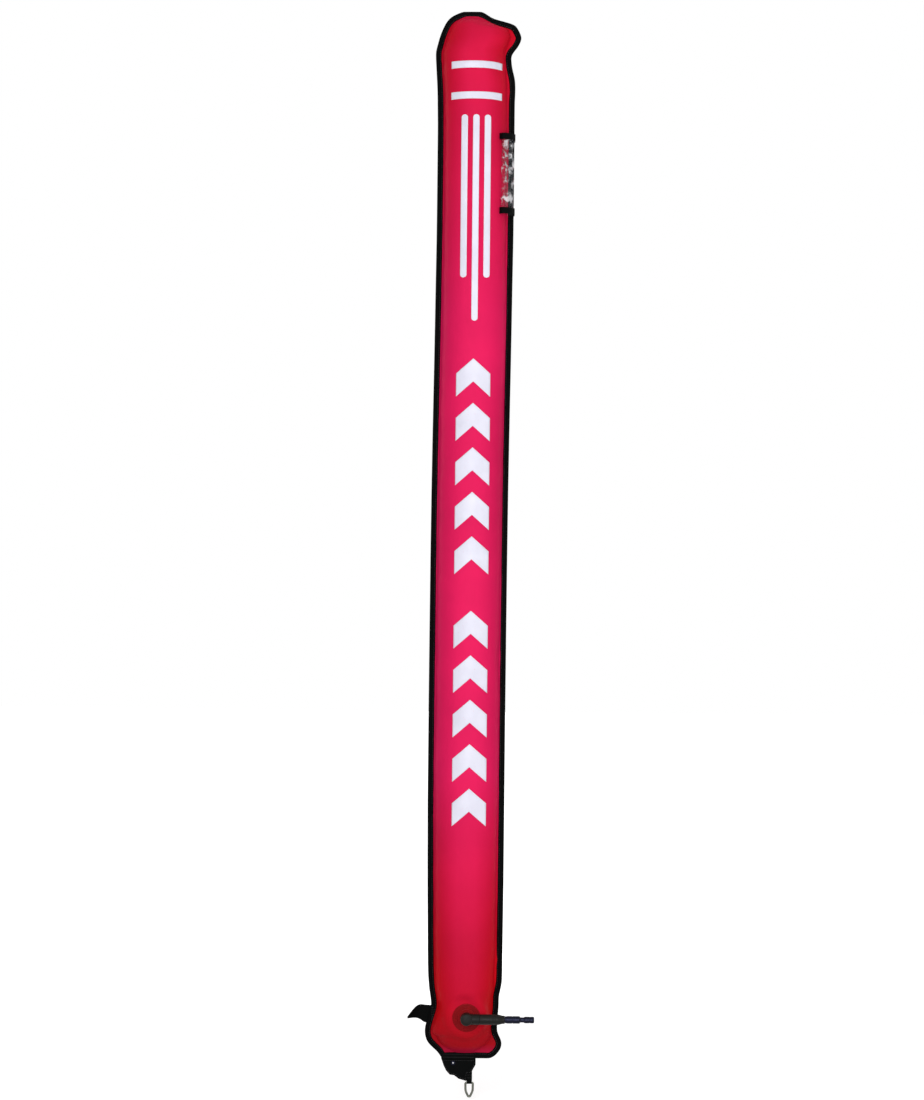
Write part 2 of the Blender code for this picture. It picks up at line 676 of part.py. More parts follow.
def make_dump_valve(root):
    """The over-pressure and dump valve on the back, opened by pulling its knob."""
    depth, x, z = valve_seat(1)
    seat = add_frame("dump_axis", (x, depth, z), (-math.pi / 2, 0, 0), root)
    spigot_bore = DUMP_SPIGOT + CLEARANCE
    turned("dump_flange", flange_profile(spigot_bore), MOULDED_RED, seat)

    base = CLEARANCE + COLLAR_OUT + CLEARANCE
    floor = base + DUMP_FLOOR
    rim = floor + DUMP_RIM_HEIGHT
    top = base + DUMP_HEIGHT
    inner = DUMP_RADIUS - DUMP_WALL
    rim_outer = DUMP_PORT + DUMP_RIM_WIDTH
    spigot_inner = DUMP_SPIGOT - DUMP_SPIGOT_WALL
    housing = turned("dump_housing", [(inner, top), (DUMP_RADIUS, top), (DUMP_RADIUS, base),
                                      (DUMP_SPIGOT, base), (DUMP_SPIGOT, -DUMP_SPIGOT_IN),
                                      (spigot_inner, -DUMP_SPIGOT_IN), (spigot_inner, base),
                                      (DUMP_PORT, base), (DUMP_PORT, rim), (rim_outer, rim),
                                      (rim_outer, floor), (inner, floor)], PLASTIC_BLACK, seat)
    vent_low = floor + VENT_RISE
    for index in range(VENT_COUNT // 2):
        slot = mesh_from("vent", lambda work: bmesh.ops.create_cube(work, size=1.0))
        cutter = add_cutter("dump_vent_%d" % (index + 1), slot, seat)
        for vert in slot.vertices:
            vert.co.x *= 2.5 * DUMP_RADIUS
            vert.co.y *= VENT_WIDTH
            vert.co.z = vert.co.z * VENT_HEIGHT + vent_low + VENT_HEIGHT / 2
        cutter.rotation_euler.z = math.tau * (index + 0.5) / VENT_COUNT
        boolean(housing, cutter, "DIFFERENCE")

    seal_low = rim + CLEARANCE
    seal_top = seal_low + DUMP_SEAL_HEIGHT
    disc_low = seal_top + CLEARANCE
    disc_top = disc_low + DISC_HEIGHT
    disc_radius = DUMP_PORT + DISC_OVERLAP
    plate = top + CLEARANCE
    cap_top = plate + CAP_TOP
    cap_inner = DUMP_RADIUS + CLEARANCE
    cap_outer = cap_inner + CAP_WALL
    rod_hole = ROD_RADIUS + CLEARANCE
    skirt = plate - CAP_SKIRT
    turned("dump_cap", [(rod_hole, cap_top), (cap_outer - CAP_EDGE, cap_top), (cap_outer, cap_top - CAP_EDGE),
                        (cap_outer, skirt), (cap_inner, skirt), (cap_inner, plate), (rod_hole, plate)],
           PLASTIC_BLACK, seat)
    knob_low = cap_top + KNOB_STANDOFF
    knob_top = knob_low + KNOB_HEIGHT
    rod_top = knob_low + KNOB_ENGAGEMENT
    turned("dump_disc", [(0.0, rod_top), (ROD_RADIUS, rod_top), (ROD_RADIUS, disc_top),
                         (disc_radius, disc_top), (disc_radius, disc_low), (DISC_BOSS, disc_low),
                         (DISC_BOSS, seal_low), (0.0, seal_low)], PLASTIC_BLACK, seat, closed=False)
    turned("dump_seal", washer_profile(DISC_BOSS + CLEARANCE, disc_radius, seal_low, seal_top),
           RUBBER_BLACK, seat)
    waist = knob_low + KNOB_HEIGHT / 2
    bore_top = rod_top + CLEARANCE
    knob_face = KNOB_RADIUS - KNOB_EDGE
    turned("dump_knob", [(0.0, knob_top), (knob_face, knob_top), (KNOB_RADIUS, knob_top - KNOB_EDGE),
                         (KNOB_WAIST, waist), (knob_face, knob_low), (rod_hole, knob_low),
                         (rod_hole, bore_top), (0.0, bore_top)], PLASTIC_BLACK, seat, closed=False)
    coil("dump_spring", DUMP_SPRING_RADIUS, DUMP_SPRING_WIRE, DUMP_SPRING_TURNS,
         disc_top + CLEARANCE, plate - CLEARANCE, STAINLESS, seat)
    return seat


def prism(work, outline, axis, half):
    """A flat outline in XZ or YZ, pushed both ways along the third axis."""
    def corner(point, push):
        return (point[0], push, point[1]) if axis == "Y" else (push, point[0], point[1])

    verts = [work.verts.new(corner(point, -half)) for point in outline]
    face = work.faces.new(verts)
    made = bmesh.ops.extrude_face_region(work, geom=[face])
    push = Vector((0, 2 * half, 0)) if axis == "Y" else Vector((2 * half, 0, 0))
    moved = [item for item in made["geom"] if isinstance(item, bmesh.types.BMVert)]
    bmesh.ops.translate(work, verts=moved, vec=push)
    bmesh.ops.recalc_face_normals(work, faces=work.faces)


def tab_low():
    """Height of the tab's lowest edge."""
    return min(z for x, z in TAB_OUTLINE)


def make_base_tab(root):
    """The webbing tab folded over the bottom binding, with its eyelet, loop and ring."""
    slot = SEAM_HALF + CLEARANCE + BINDING_THICKNESS + CLEARANCE
    outer = slot + TAB_PLY
    slot_low = -BINDING_THICKNESS - 2 * CLEARANCE
    low = tab_low() - CUT_PAST
    half = TAB_THICKNESS / 2
    section = [(-half, low), (half, low), (half, slot_low - TAB_FLARE), (outer, slot_low),
               (outer, TAB_CLASP), (slot, TAB_CLASP), (slot, slot_low), (-slot, slot_low),
               (-slot, TAB_CLASP), (-outer, TAB_CLASP), (-outer, slot_low), (-half, slot_low - TAB_FLARE)]
    fork = mesh_from("base_tab", lambda work: prism(work, section, "X", TUBE_RADIUS))
    tab = add_part("base_tab", fork, WEBBING_BLACK, root)
    outline = mesh_from("tab_outline", lambda work: prism(work, TAB_OUTLINE, "Y", CUT_PAST))
    boolean(tab, add_cutter("tab_outline", outline, root), "INTERSECT")

    eyelet = add_frame("eyelet_axis", (EYELET_X, 0, EYELET_Z), (math.pi / 2, 0, 0), root)
    barrel = EYELET_BORE + EYELET_BARREL
    hole = turned_cutter("eyelet_hole", rod_profile(barrel + CLEARANCE, -CUT_PAST, CUT_PAST), eyelet,
                         segments=SMALL_ROUND)
    boolean(tab, hole, "DIFFERENCE")
    face = half + CLEARANCE
    top = face + EYELET_BRIM_HEIGHT
    back = -face - EYELET_BRIM_HEIGHT
    brim = EYELET_BRIM - EYELET_BRIM_HEIGHT / 2
    turned("tab_eyelet", [(EYELET_BORE, top), (brim, top), (EYELET_BRIM, face), (barrel, face),
                          (barrel, back), (EYELET_BORE, back)], PLATED_DARK, eyelet, segments=SMALL_ROUND)
    turned("tab_eyelet_washer", washer_profile(barrel + CLEARANCE, EYELET_BRIM, back, -face),
           PLATED_DARK, eyelet, segments=SMALL_ROUND)

    strap = max(RING_WIRE, half) + CLEARANCE
    path = [(-strap, LOOP_LENGTH)]
    arc = 8
    for step in range(arc + 1):
        angle = math.pi + math.pi * step / arc
        path.append((strap * math.cos(angle), strap * math.sin(angle)))
    path.append((strap, LOOP_LENGTH))
    pivot = add_frame("ring_pivot", (LOOP_X, 0, tab_low() - RING_DROP - RING_WIRE), (0, 0, 0), root)
    loop = add_part("ring_loop", strip_mesh("ring_loop", path, LOOP_WIDTH, "X"), WEBBING_BLACK, pivot)
    add_solidify(loop, LOOP_PLY, 1.0)
    make_line_ring(pivot)


def strip_mesh(name, path, width, axis):
    """A strip along a path, with its width along X or Z and its face to the path's outer side."""
    def build(work):
        ends = []
        for side in (-0.5, 0.5):
            if axis == "X":
                ends.append([work.verts.new((side * width, a, b)) for a, b in path])
            else:
                ends.append([work.verts.new((a, b, side * width)) for a, b in path])
        for i in range(len(path) - 1):
            work.faces.new((ends[0][i], ends[0][i + 1], ends[1][i + 1], ends[1][i]))
    return mesh_from(name, build)


def make_line_ring(pivot):
    """The pear-shaped ring of round wire, hanging from its straight top bar."""
    half = RING_WIDTH / 2
    points = []
    steps = 4
    for step in range(steps + 1):
        angle = math.pi / 2 * (1 - step / steps)
        points.append((half - RING_CORNER + RING_CORNER * math.cos(angle),
                       -RING_CORNER + RING_CORNER * math.sin(angle)))
    taper = RING_HEIGHT - RING_SHOULDER
    points += [(half * across, -RING_SHOULDER - taper * down) for across, down in RING_TAPER]
    mirrored = [(-x, z) for x, z in reversed(points)]
    outline = points + [(0.0, -RING_HEIGHT)] + mirrored
    curve = bpy.data.curves.new("line_ring", "CURVE")
    curve.dimensions = "3D"
    curve.bevel_depth = RING_WIRE
    curve.bevel_resolution = 2
    spline = curve.splines.new("POLY")
    spline.points.add(len(outline) - 1)
    for knot, (x, z) in zip(spline.points, outline):
        knot.co = (x, 0.0, z, 1.0)
    spline.use_cyclic_u = True
    add_part("line_ring", curve, STAINLESS, pivot)


def make_stow_strap(root):
    """A short webbing strap sewn behind the left binding, with its free end curled to the front."""
    back = SEAM_HALF + CLEARANCE + BINDING_THICKNESS + CLEARANCE
    free = STRAP_EDGES[-1][0] - STRAP_FLAT

    def build(work):
        lower, upper = [], []
        for out, low, high in STRAP_EDGES:
            curl = max(out - STRAP_FLAT, 0.0) / free
            y = back - STRAP_CURL * curl * curl
            lower.append(work.verts.new((STRAP_X - out, y, STRAP_Z + low)))
            upper.append(work.verts.new((STRAP_X - out, y, STRAP_Z + high)))
        for i in range(len(lower) - 1):
            work.faces.new((lower[i], lower[i + 1], upper[i + 1], upper[i]))

    strap = add_part("stow_strap", mesh_from("stow_strap", build), WEBBING_BLACK, root)
    add_solidify(strap, STRAP_THICKNESS, 1.0)


def sleeve_point(angle, room=0.0):
    """Point across the oval sleeve: its long half leans away from the seam, round the tube."""
    reach = (TUBE_RADIUS + SLEEVE_GAP + SLEEVE_HALF_DEPTH) / math.hypot(*SLEEVE_WAY)
    tilt = math.radians(SLEEVE_TILT)
    along = (SLEEVE_HALF_WIDTH + room) * math.cos(angle)
    out = (SLEEVE_HALF_DEPTH + room) * math.sin(angle)
    return (SLEEVE_WAY[0] * reach + along * math.cos(tilt) - out * math.sin(tilt),
            SLEEVE_WAY[1] * reach + along * math.sin(tilt) + out * math.cos(tilt))


def make_sleeve(root):
    """The clear sleeve for a light stick, held to the right seam by two tapes."""
    def build(work):
        rings = []
        for height in (0.0, SLEEVE_LENGTH):
            rings.append([work.verts.new((*sleeve_point(math.tau * step / SLEEVE_SIDES), height))
                          for step in range(SLEEVE_SIDES)])
        for i in range(SLEEVE_SIDES):
            j = (i + 1) % SLEEVE_SIDES
            work.faces.new((rings[0][i], rings[0][j], rings[1][j], rings[1][i]))

    sleeve_z = TUBE_LENGTH - SLEEVE_DROP - SLEEVE_LENGTH
    bend = bend_at(sleeve_z + SLEEVE_LENGTH / 2)
    sleeve = add_part("light_stick_sleeve", mesh_from("light_stick_sleeve", build), CLEAR_VINYL, root)
    sleeve.location = (bend, 0.0, sleeve_z)
    add_solidify(sleeve, SLEEVE_WALL, -1.0)
    smooth(sleeve.data)

    path = []
    for degrees in BAND_FOOT:
        angle = math.radians(degrees)
        foot = TUBE_RADIUS + SEAM_HALF + CLEARANCE
        path.append((foot * math.cos(angle), -foot * math.sin(angle)))
    start, end = BAND_ARC
    steps = 10
    for step in range(steps + 1):
        path.append(sleeve_point(math.radians(start + (end - start) * step / steps), CLEARANCE))
    edge = TUBE_RADIUS + SEAM_MARGIN + 2 * CLEARANCE + BINDING_THICKNESS
    half = SEAM_HALF + CLEARANCE + BINDING_THICKNESS + CLEARANCE
    path += [(edge, -half), (edge, half), (edge - BAND_WRAP, half)]
    for name, height in (("sleeve_band_bottom", sleeve_z + BAND_HEIGHT / 2),
                         ("sleeve_band_top", sleeve_z + SLEEVE_LENGTH - BAND_HEIGHT / 2)):
        band = add_part(name, strip_mesh(name, path, BAND_HEIGHT, "Z"), WEBBING_BLACK, root)
        band.location = (bend, 0.0, height)
        add_solidify(band, BAND_THICKNESS, 1.0)


def main():
    root = add_frame("buoy_frame", (0, 0, 0), (0, 0, 0))
    inflator = make_inflator(root)
    dump = make_dump_valve(root)
    make_panel("front_panel", -1, THROAT_RADIUS + COLLAR_WALL + 2 * CLEARANCE, inflator, root)
    make_panel("back_panel", 1, DUMP_SPIGOT + COLLAR_WALL + 2 * CLEARANCE, dump, root)
    make_binding(root)
    make_base_tab(root)
    make_stow_strap(root)
    make_sleeve(root)
    bpy.context.view_layer.update()


main()
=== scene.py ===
"""Looks for an inflated surface marker buoy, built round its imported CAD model."""

import json
import math
from functools import partial, reduce

import bmesh
import bpy
from bpy.props import FloatProperty, FloatVectorProperty, IntProperty, PointerProperty
from bpy.types import Operator, Panel, PropertyGroup
from mathutils import Matrix, Vector, noise
from mathutils.bvhtree import BVHTree


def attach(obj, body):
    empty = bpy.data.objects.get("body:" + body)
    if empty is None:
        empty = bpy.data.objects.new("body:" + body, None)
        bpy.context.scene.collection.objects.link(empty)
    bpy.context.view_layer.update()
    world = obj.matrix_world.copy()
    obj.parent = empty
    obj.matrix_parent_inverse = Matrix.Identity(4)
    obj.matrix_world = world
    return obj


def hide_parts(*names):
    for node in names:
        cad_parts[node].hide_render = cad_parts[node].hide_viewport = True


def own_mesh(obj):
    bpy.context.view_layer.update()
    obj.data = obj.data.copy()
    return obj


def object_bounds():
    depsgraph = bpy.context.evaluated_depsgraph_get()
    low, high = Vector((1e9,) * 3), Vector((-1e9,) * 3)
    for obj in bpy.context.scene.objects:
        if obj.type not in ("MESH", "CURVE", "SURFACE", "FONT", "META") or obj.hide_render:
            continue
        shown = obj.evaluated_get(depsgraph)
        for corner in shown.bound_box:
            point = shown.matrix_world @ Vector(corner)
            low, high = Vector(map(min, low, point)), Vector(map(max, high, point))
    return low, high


bl_info = {
    "name": "Surface marker buoy",
    "version": (1, 0, 0),
    "blender": (4, 5, 0),
    "location": "View3D > Sidebar > Buoy",
    "description": "Builds the fabric, tapes, inflator, valves and stage of an inflated signal tube",
    "category": "Object",
}

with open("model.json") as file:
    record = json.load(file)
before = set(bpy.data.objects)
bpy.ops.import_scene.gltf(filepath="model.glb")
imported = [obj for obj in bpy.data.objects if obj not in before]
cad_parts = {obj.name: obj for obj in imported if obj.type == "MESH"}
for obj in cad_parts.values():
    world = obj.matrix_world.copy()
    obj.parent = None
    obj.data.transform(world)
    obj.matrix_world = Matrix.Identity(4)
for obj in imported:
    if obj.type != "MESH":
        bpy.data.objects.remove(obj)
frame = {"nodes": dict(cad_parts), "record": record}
CAD_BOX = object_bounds()
BODY = "envelope"


def mm(*points):
    """Points in metres from points in millimetres, to a tenth of a micrometre."""
    return [tuple(round(value / 1000, 7) for value in point) for point in points]


# Envelope sizes, as in the CAD source, in metres
LENGTH = 1.829
RADIUS = 0.052
MARGIN = 0.014
SEAM_HALF = 0.0009
TAPE_COVER, TAPE_THICKNESS = 0.0092, 0.0009
GAS_ROOM = 0.0108
TOP_SEAM, TOP_DOME = 0.0108, 0.0992
BOTTOM_SEAM, BOTTOM_DOME = 0.0108, 0.0972
END_SHARE = 0.35
EAR_FILL = 0.7

# Lower edge of the bulge, which is round between two flat ears
ARC_WIDTH, ARC_TOP = 0.0475, 0.042

# Step of the seam edge from the straight line, by height from the bottom or depth from the top
LOWER_LEFT = mm((0, -28), (8, -23.5), (15, -16.5), (22, -8.5), (30, -2.5), (43, 0.8), (55, 0), (70, -4.2),
                (90, -9.6), (106, -8.5), (120, -6.2), (150, -3.8), (220, -2.4), (330, -1), (450, 0))
LOWER_RIGHT = mm((0, -19), (3, -13), (8, -8.3), (15, -3.1), (23, -0.6), (30, -1.4), (37, -4.6), (44, -7.8),
                 (52, -8.8), (70, -8), (90, -6.4), (108, -6), (120, -3.6), (134, -1.2), (180, -0.7), (300, 0))
UPPER_LEFT = mm((0, -46), (4, -34.5), (11, -25.2), (18, -19), (29, -13), (43, -7.1), (57, -2.8), (71, 1),
                (95, 1.4), (140, 0.9), (200, 0))
UPPER_RIGHT = mm((0, -51), (7, -40.2), (13.5, -30), (17, -13), (20.5, 2), (27.5, 8.4), (36, 12.9), (44, 15.5),
                 (52, 12.7), (60, 8), (68, 1.2), (75, -3), (83, -3.8), (98, -2.7), (115, 0.5), (130, 1.2),
                 (160, 0))

# Sideways bend of the tube: height, and how far its axis lies to the right there
BEND = mm((600, 0), (850, 0.6), (1000, 1.4), (1120, 2.6), (1240, 4), (1360, 5.1), (1450, 5.9), (1670, 5.9),
          (1700, 5.4), (1760, 2.4), (1800, 0.8), (1829, 0))

# Flat seats of the two valves, by side: depth, centre across, centre up
SEATS = {-1: (0.0465, 0.0045, 0.077), 1: (0.047, 0.0, 0.083)}
FLANGE_RADIUS = 0.0245
SEAT_ROOM, SEAT_BLEND, SEAT_FADE = 0.006, 0.014, 0.018

# Heights where the strap and the middle of the sleeve are sewn to the seam
STRAP_HEIGHT, SLEEVE_MIDDLE = 0.076, 1.543

# Cells of each panel's flat margin
MARGIN_CELLS = 3


def settings():
    return bpy.context.scene.buoy


class BuoySettings(PropertyGroup):
    """Sizes and colours that can be changed before the pieces are built."""

    cloth_across: IntProperty(name="Cloth cells across", default=30, min=12, max=80,
                              description="Cells of the inflated part of each panel, from seam to seam")
    cloth_cell: FloatProperty(name="Cloth cell at the ends", default=0.004, min=0.002, max=0.02,
                              unit="LENGTH",
                              description="Height of the panel's cells near the top and the bottom")
    slack: FloatProperty(name="Slack at the ends", default=0.13, min=0.0, max=0.3, subtype="FACTOR",
                         description="Spare cloth that puckers where the flat sheets become a dome")
    pucker: FloatProperty(name="Seam wave", default=0.0012, min=0.0, max=0.004, unit="LENGTH",
                          description="How far the bound seam weaves to the front and back")
    stitch_pitch: FloatProperty(name="Stitch pitch", default=0.0040, min=0.002, max=0.01, unit="LENGTH",
                                description="Distance from one stitch to the next")
    # The pink of the middle of each panel, where the red cloth has a painted highlight
    nylon_highlight_colour: FloatVectorProperty(name="Nylon", subtype="COLOR", size=3, min=0.0, max=1.0,
                                      default=(0.89, 0.13, 0.36), description="Colour of the panels, as sRGB")
    ink_colour: FloatVectorProperty(name="Ink", subtype="COLOR", size=3, min=0.0, max=1.0,
                                    default=(0.91, 0.91, 0.96),
                                    description="Colour of the printed marks, as sRGB")
    camera_distance: FloatProperty(name="Camera distance", default=5.0, min=2.0, max=12.0, unit="LENGTH",
                                   description="From the camera to the seam plane")
    camera_roll: FloatProperty(name="Camera roll", default=math.radians(0.58), subtype="ANGLE",
                               description="Lean of the tube in the picture, with its top to the right")


# ---- shared helpers ----


def assign(thing, **values):
    """Sets a thing's own values, and returns it."""
    for name, value in values.items():
        setattr(thing, name, value)
    return thing


def put(name, data, **values):
    """Puts a new object in the scene."""
    made = assign(bpy.data.objects.new(name, data), **values)
    bpy.context.scene.collection.objects.link(made)
    return made


def add_modifier(piece, kind, name, **values):
    return assign(piece.modifiers.new(name, kind), **values)


def mesh_of(work, name):
    mesh = bpy.data.meshes.new(name)
    work.to_mesh(mesh)
    work.free()
    return mesh


def finished(name, work, make, body, replaced=()):
    """Puts a finished shape in the scene, on its body, in place of its CAD nodes."""
    piece = put(name, mesh_of(work, name))
    piece.data.materials.append(finish(make))
    piece.data.shade_smooth()
    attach(piece, body)
    if replaced:
        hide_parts(*replaced)
    return piece


def eased(piece, width=0.0003, segments=2, angle=30):
    """Rounds a hard piece's edges."""
    add_modifier(piece, "BEVEL", "edges", width=width, segments=segments, limit_method="ANGLE",
                 angle_limit=math.radians(angle))
    add_modifier(piece, "WEIGHTED_NORMAL", "shading", keep_sharp=True)
    return piece


def between(points, position):
    """Value at a position on a smooth curve through (position, value) points."""
    if position <= points[0][0]:
        return points[0][1]
    if position >= points[-1][0]:
        return points[-1][1]
    index = next(i for i in range(len(points) - 1) if position <= points[i + 1][0])

    def slope(i):
        before, after = points[max(i - 1, 0)], points[min(i + 1, len(points) - 1)]
        return (after[1] - before[1]) / (after[0] - before[0])

    (start, low), (end, high) = points[index], points[index + 1]
    span = end - start
    t = (position - start) / span
    value = (2 * t ** 3 - 3 * t ** 2 + 1) * low + (3 * t ** 2 - 2 * t ** 3) * high
    return value + span * ((t ** 3 - 2 * t ** 2 + t) * slope(index) + (t ** 3 - t ** 2) * slope(index + 1))


def ease(value, low, high):
    """0 below low, 1 above high, and smooth between them."""
    t = min(max((value - low) / (high - low), 0.0), 1.0)
    return t * t * (3 - 2 * t)


def running_length(path, closed=False):
    run = [0.0]
    for first, second in zip(path, path[1:] + path[:1] if closed else path[1:]):
        run.append(run[-1] + (second - first).length)
    return run


def outward(work, merge=0.0):
    """Merges points closer than merge, and turns the faces outwards."""
    if merge:
        bmesh.ops.remove_doubles(work, verts=work.verts, dist=merge)
    bmesh.ops.recalc_face_normals(work, faces=work.faces)
    return work


def lay_uv(work, name, spot):
    """Adds a UV map in metres, on which spot gives each point's place."""
    layer = work.loops.layers.uv.new(name)
    for face in work.faces:
        for loop in face.loops:
            loop[layer].uv = spot(loop.vert)


def grid(across, up, name=None, spot=None):
    """A flat grid of cells, and each point's column and row. From these, spot gives its place on a UV map."""
    work = bmesh.new()
    bmesh.ops.create_grid(work, x_segments=across, y_segments=up, size=1.0)

    def cell(vert):
        return round((vert.co.x + 1) / 2 * across), round((vert.co.y + 1) / 2 * up)

    if spot:
        lay_uv(work, name, lambda vert: spot(*cell(vert)))
    return work, {vert: cell(vert) for vert in work.verts}


# ---- envelope shape ----


def seam_reach(side, height):
    lower, upper = (LOWER_LEFT, UPPER_LEFT) if side < 0 else (LOWER_RIGHT, UPPER_RIGHT)
    step = between(lower, height) if height < LENGTH / 2 else between(upper, LENGTH - height)
    return RADIUS + MARGIN + side * between(BEND, height) + step


def gas_reach(side, height):
    """Half width of the bulge, which meets the tape at the left and leaves a flat strip at the right."""
    reach = seam_reach(side, height)
    if side > 0:
        ear = max(reach - MARGIN - RADIUS - between(BEND, height), 0.0) * (height > LENGTH / 2)
        reach = RADIUS + between(BEND, height) + EAR_FILL * ear
    for step in range(-12, 13):
        rise = GAS_ROOM * step / 12
        if 0.0 <= height + rise <= LENGTH:
            reach = min(reach, seam_reach(side, height + rise) - math.sqrt(GAS_ROOM ** 2 - rise ** 2))
    if height < ARC_TOP:
        fall = min((ARC_TOP - height) / (ARC_TOP - BOTTOM_SEAM), 1.0)
        reach = min(reach, ARC_WIDTH * math.sqrt(1 - fall * fall))
    return max(reach, END_SHARE * seam_reach(side, height))


def gas_depth(height):
    share = max((height - (LENGTH - TOP_SEAM - TOP_DOME)) / TOP_DOME,
                (BOTTOM_SEAM + BOTTOM_DOME - height) / BOTTOM_DOME, 0.0)
    return RADIUS * math.sqrt(max(1 - share * share, 0.0))


def end_share(height):
    """1 at the two ends of the tube, 0 along its straight middle."""
    return max(1 - ease(height, 0.06, 0.26), ease(height, LENGTH - 0.22, LENGTH - 0.05))


def seam_puckers(side, height, run):
    """Small folds that start at the seam and die out over the tube's curve."""
    near = ease(run, 0.0, 0.007) * (1 - ease(run, 0.012, 0.045))
    long_folds = noise.noise(Vector((side * 31.7, height * 42, run * 9)))
    short_folds = noise.noise(Vector((side * 11.3, height * 105, run * 16)))
    return 0.0011 * near * (long_folds + (0.3 + 1.0 * end_share(height)) * short_folds)


def seam_wave(x, z):
    """How far the seam weaves to the front or back, which is nothing where pieces are sewn to it."""
    held = ease(z, 0.02, 0.05)
    held *= 1 - (1 - ease(abs(z - STRAP_HEIGHT), 0.024, 0.05)) * (x < 0)
    held *= 1 - 0.8 * (1 - ease(abs(z - SLEEVE_MIDDLE), 0.085, 0.12)) * (x > 0)
    size = settings().pucker * (0.55 + 1.2 * end_share(z))
    return size * held * noise.noise(Vector((x * 18, 3.1, z * 18))) * 2.0


def cloth_rows(cell):
    """Heights of the panel's rows, close together at the ends."""
    rows, height = [], 0.0
    while height < LENGTH - 1e-6:
        rows.append(height)
        into_middle = min(height - 0.24, (LENGTH - 0.20) - height)
        height += cell * (1 + 1.3 * ease(into_middle, 0.0, 0.12))
    if LENGTH - rows[-1] < cell * 0.6:
        rows.pop()
    return rows + [LENGTH]


def panel_row(face, height, cells):
    """Points of one row of a panel from its left seam edge to its right one."""
    left, right = gas_reach(-1, height), gas_reach(1, height)
    seam_left, seam_right = seam_reach(-1, height), seam_reach(1, height)
    depth = gas_depth(height)
    seat_y, seat_x, seat_z = SEATS[face]
    room = FLANGE_RADIUS + SEAT_ROOM
    points = [(-seam_left + (seam_left - left) * step / MARGIN_CELLS, face * SEAM_HALF)
              for step in range(MARGIN_CELLS)]
    for step in range(cells + 1):
        angle = math.pi * step / cells
        fold = seam_puckers(-1, height, RADIUS * angle) + seam_puckers(1, height, RADIUS * (math.pi - angle))
        x = (right - left) / 2 - ((right + left) / 2 + fold) * math.cos(angle)
        y = SEAM_HALF + (depth + fold) * math.sin(angle)
        fade = min((y - SEAM_HALF) / SEAT_FADE, 1.0)
        weight = (1 - ease(math.hypot(x - seat_x, height - seat_z), room, room + SEAT_BLEND)) * fade
        points.append((x, face * (y + (seat_y - y) * weight)))
    points += [(right + (seam_right - right) * (step + 1) / MARGIN_CELLS, face * SEAM_HALF)
               for step in range(MARGIN_CELLS)]
    return [Vector((x, y, height)) for x, y in points]


def sew_panel(face):
    """A panel as a fine grid on the inflated shape, with its seam wave and a UV map in metres."""
    rows = cloth_rows(settings().cloth_cell)
    lines = [panel_row(face, height, settings().cloth_across) for height in rows]
    last = len(lines[0]) - 1
    columns = range(last + 1)[::-face]
    lengths = []
    for line in lines:
        run = running_length(line)
        lengths.append([length - run[-1] / 2 for length in run])
    rise = running_length([line[(last + 1) // 2] for line in lines])
    work, place = grid(last, len(rows) - 1, "cloth", lambda i, j: (lengths[j][columns[i]], rise[j]))
    for vert, (i, j) in place.items():
        point = lines[j][columns[i]]
        near_seam = 1 - ease(min(i, last - i), MARGIN_CELLS, MARGIN_CELLS + 5)
        near_end = 1 - ease(min(rows[j], LENGTH - rows[j]), 0.016, 0.045)
        point.y += seam_wave(point.x, point.z) * max(near_seam, near_end)
        vert.co = point
    return work


def inflate(piece, face):
    """Lets cloth with spare width and length settle under pressure, with its seam and valve seat held."""
    slack = settings().slack
    start = [vert.co.copy() for vert in piece.data.vertices]
    seat_y, seat_x, seat_z = SEATS[face]
    seam_room, seam_rise, foot, end_room, seat_room = 0.0108, 0.0035, 0.046, 0.0115, 0.002
    sewn_key = piece.shape_key_add(name="sewn")
    cut = piece.shape_key_add(name="cut")
    held = piece.vertex_groups.new(name="held")
    for index, point in enumerate(start):
        ends = end_share(point.z)
        wide = 1 + 0.012 + slack * ends
        past = point.z if point.z < 1 else point.z - LENGTH
        tall = 0.010 * math.sin(point.z * 9.0) + 0.35 * slack * ends * past
        cut.data[index].co = Vector((point.x * wide, point.y * wide, point.z * 1.006 + tall * 0.5))
        inset = min(point.x + seam_reach(-1, point.z), seam_reach(1, point.z) - point.x)
        flat = abs(abs(point.y) - SEAM_HALF) < 0.0008
        edge = abs(point.y) < SEAM_HALF + seam_rise and (inset < seam_room or (point.z < foot and flat))
        end = min(point.z, LENGTH - point.z) < end_room
        seat = math.hypot(point.x - seat_x, point.z - seat_z) < FLANGE_RADIUS + seat_room
        if edge or end or seat:
            held.add([index], 1.0, "REPLACE")
        # A slight wave to start from, so that the cloth doesn't stay flat
        sewn_key.data[index].co = point + Vector((0, face * 0.0004 * noise.noise(point * 60), 0))
    cloth = add_modifier(piece, "CLOTH", "air")
    assign(cloth.settings, vertex_group_mass="held", rest_shape_key=cut, quality=5, mass=0.25,
           tension_stiffness=40, compression_stiffness=40, shear_stiffness=12, bending_stiffness=0.06,
           tension_damping=12, compression_damping=12, bending_damping=1.0, air_damping=2.0,
           use_pressure=True, uniform_pressure_force=6.0)
    cloth.settings.effector_weights.gravity = 0.0
    cloth.collision_settings.use_collision = False
    scene = bpy.context.scene
    last_frame, furthest = 24, 0.007
    assign(scene, frame_start=1, frame_end=last_frame)
    assign(cloth.point_cache, frame_start=1, frame_end=last_frame)
    for number in range(1, last_frame + 1):
        scene.frame_set(number)
    shaped = piece.evaluated_get(bpy.context.evaluated_depsgraph_get())
    moved = [vert.co.copy() for vert in shaped.data.vertices]
    piece.modifiers.remove(cloth)
    piece.shape_key_clear()
    scene.frame_set(1)
    for vert, home, there in zip(piece.data.vertices, start, moved):
        push = there - home
        if push.length > furthest:
            push *= furthest / push.length
        vert.co = home + push
        if face * vert.co.y < SEAM_HALF * 0.5 and face * home.y > SEAM_HALF * 0.5:
            vert.co.y = face * SEAM_HALF * 0.5
    piece.vertex_groups.clear()


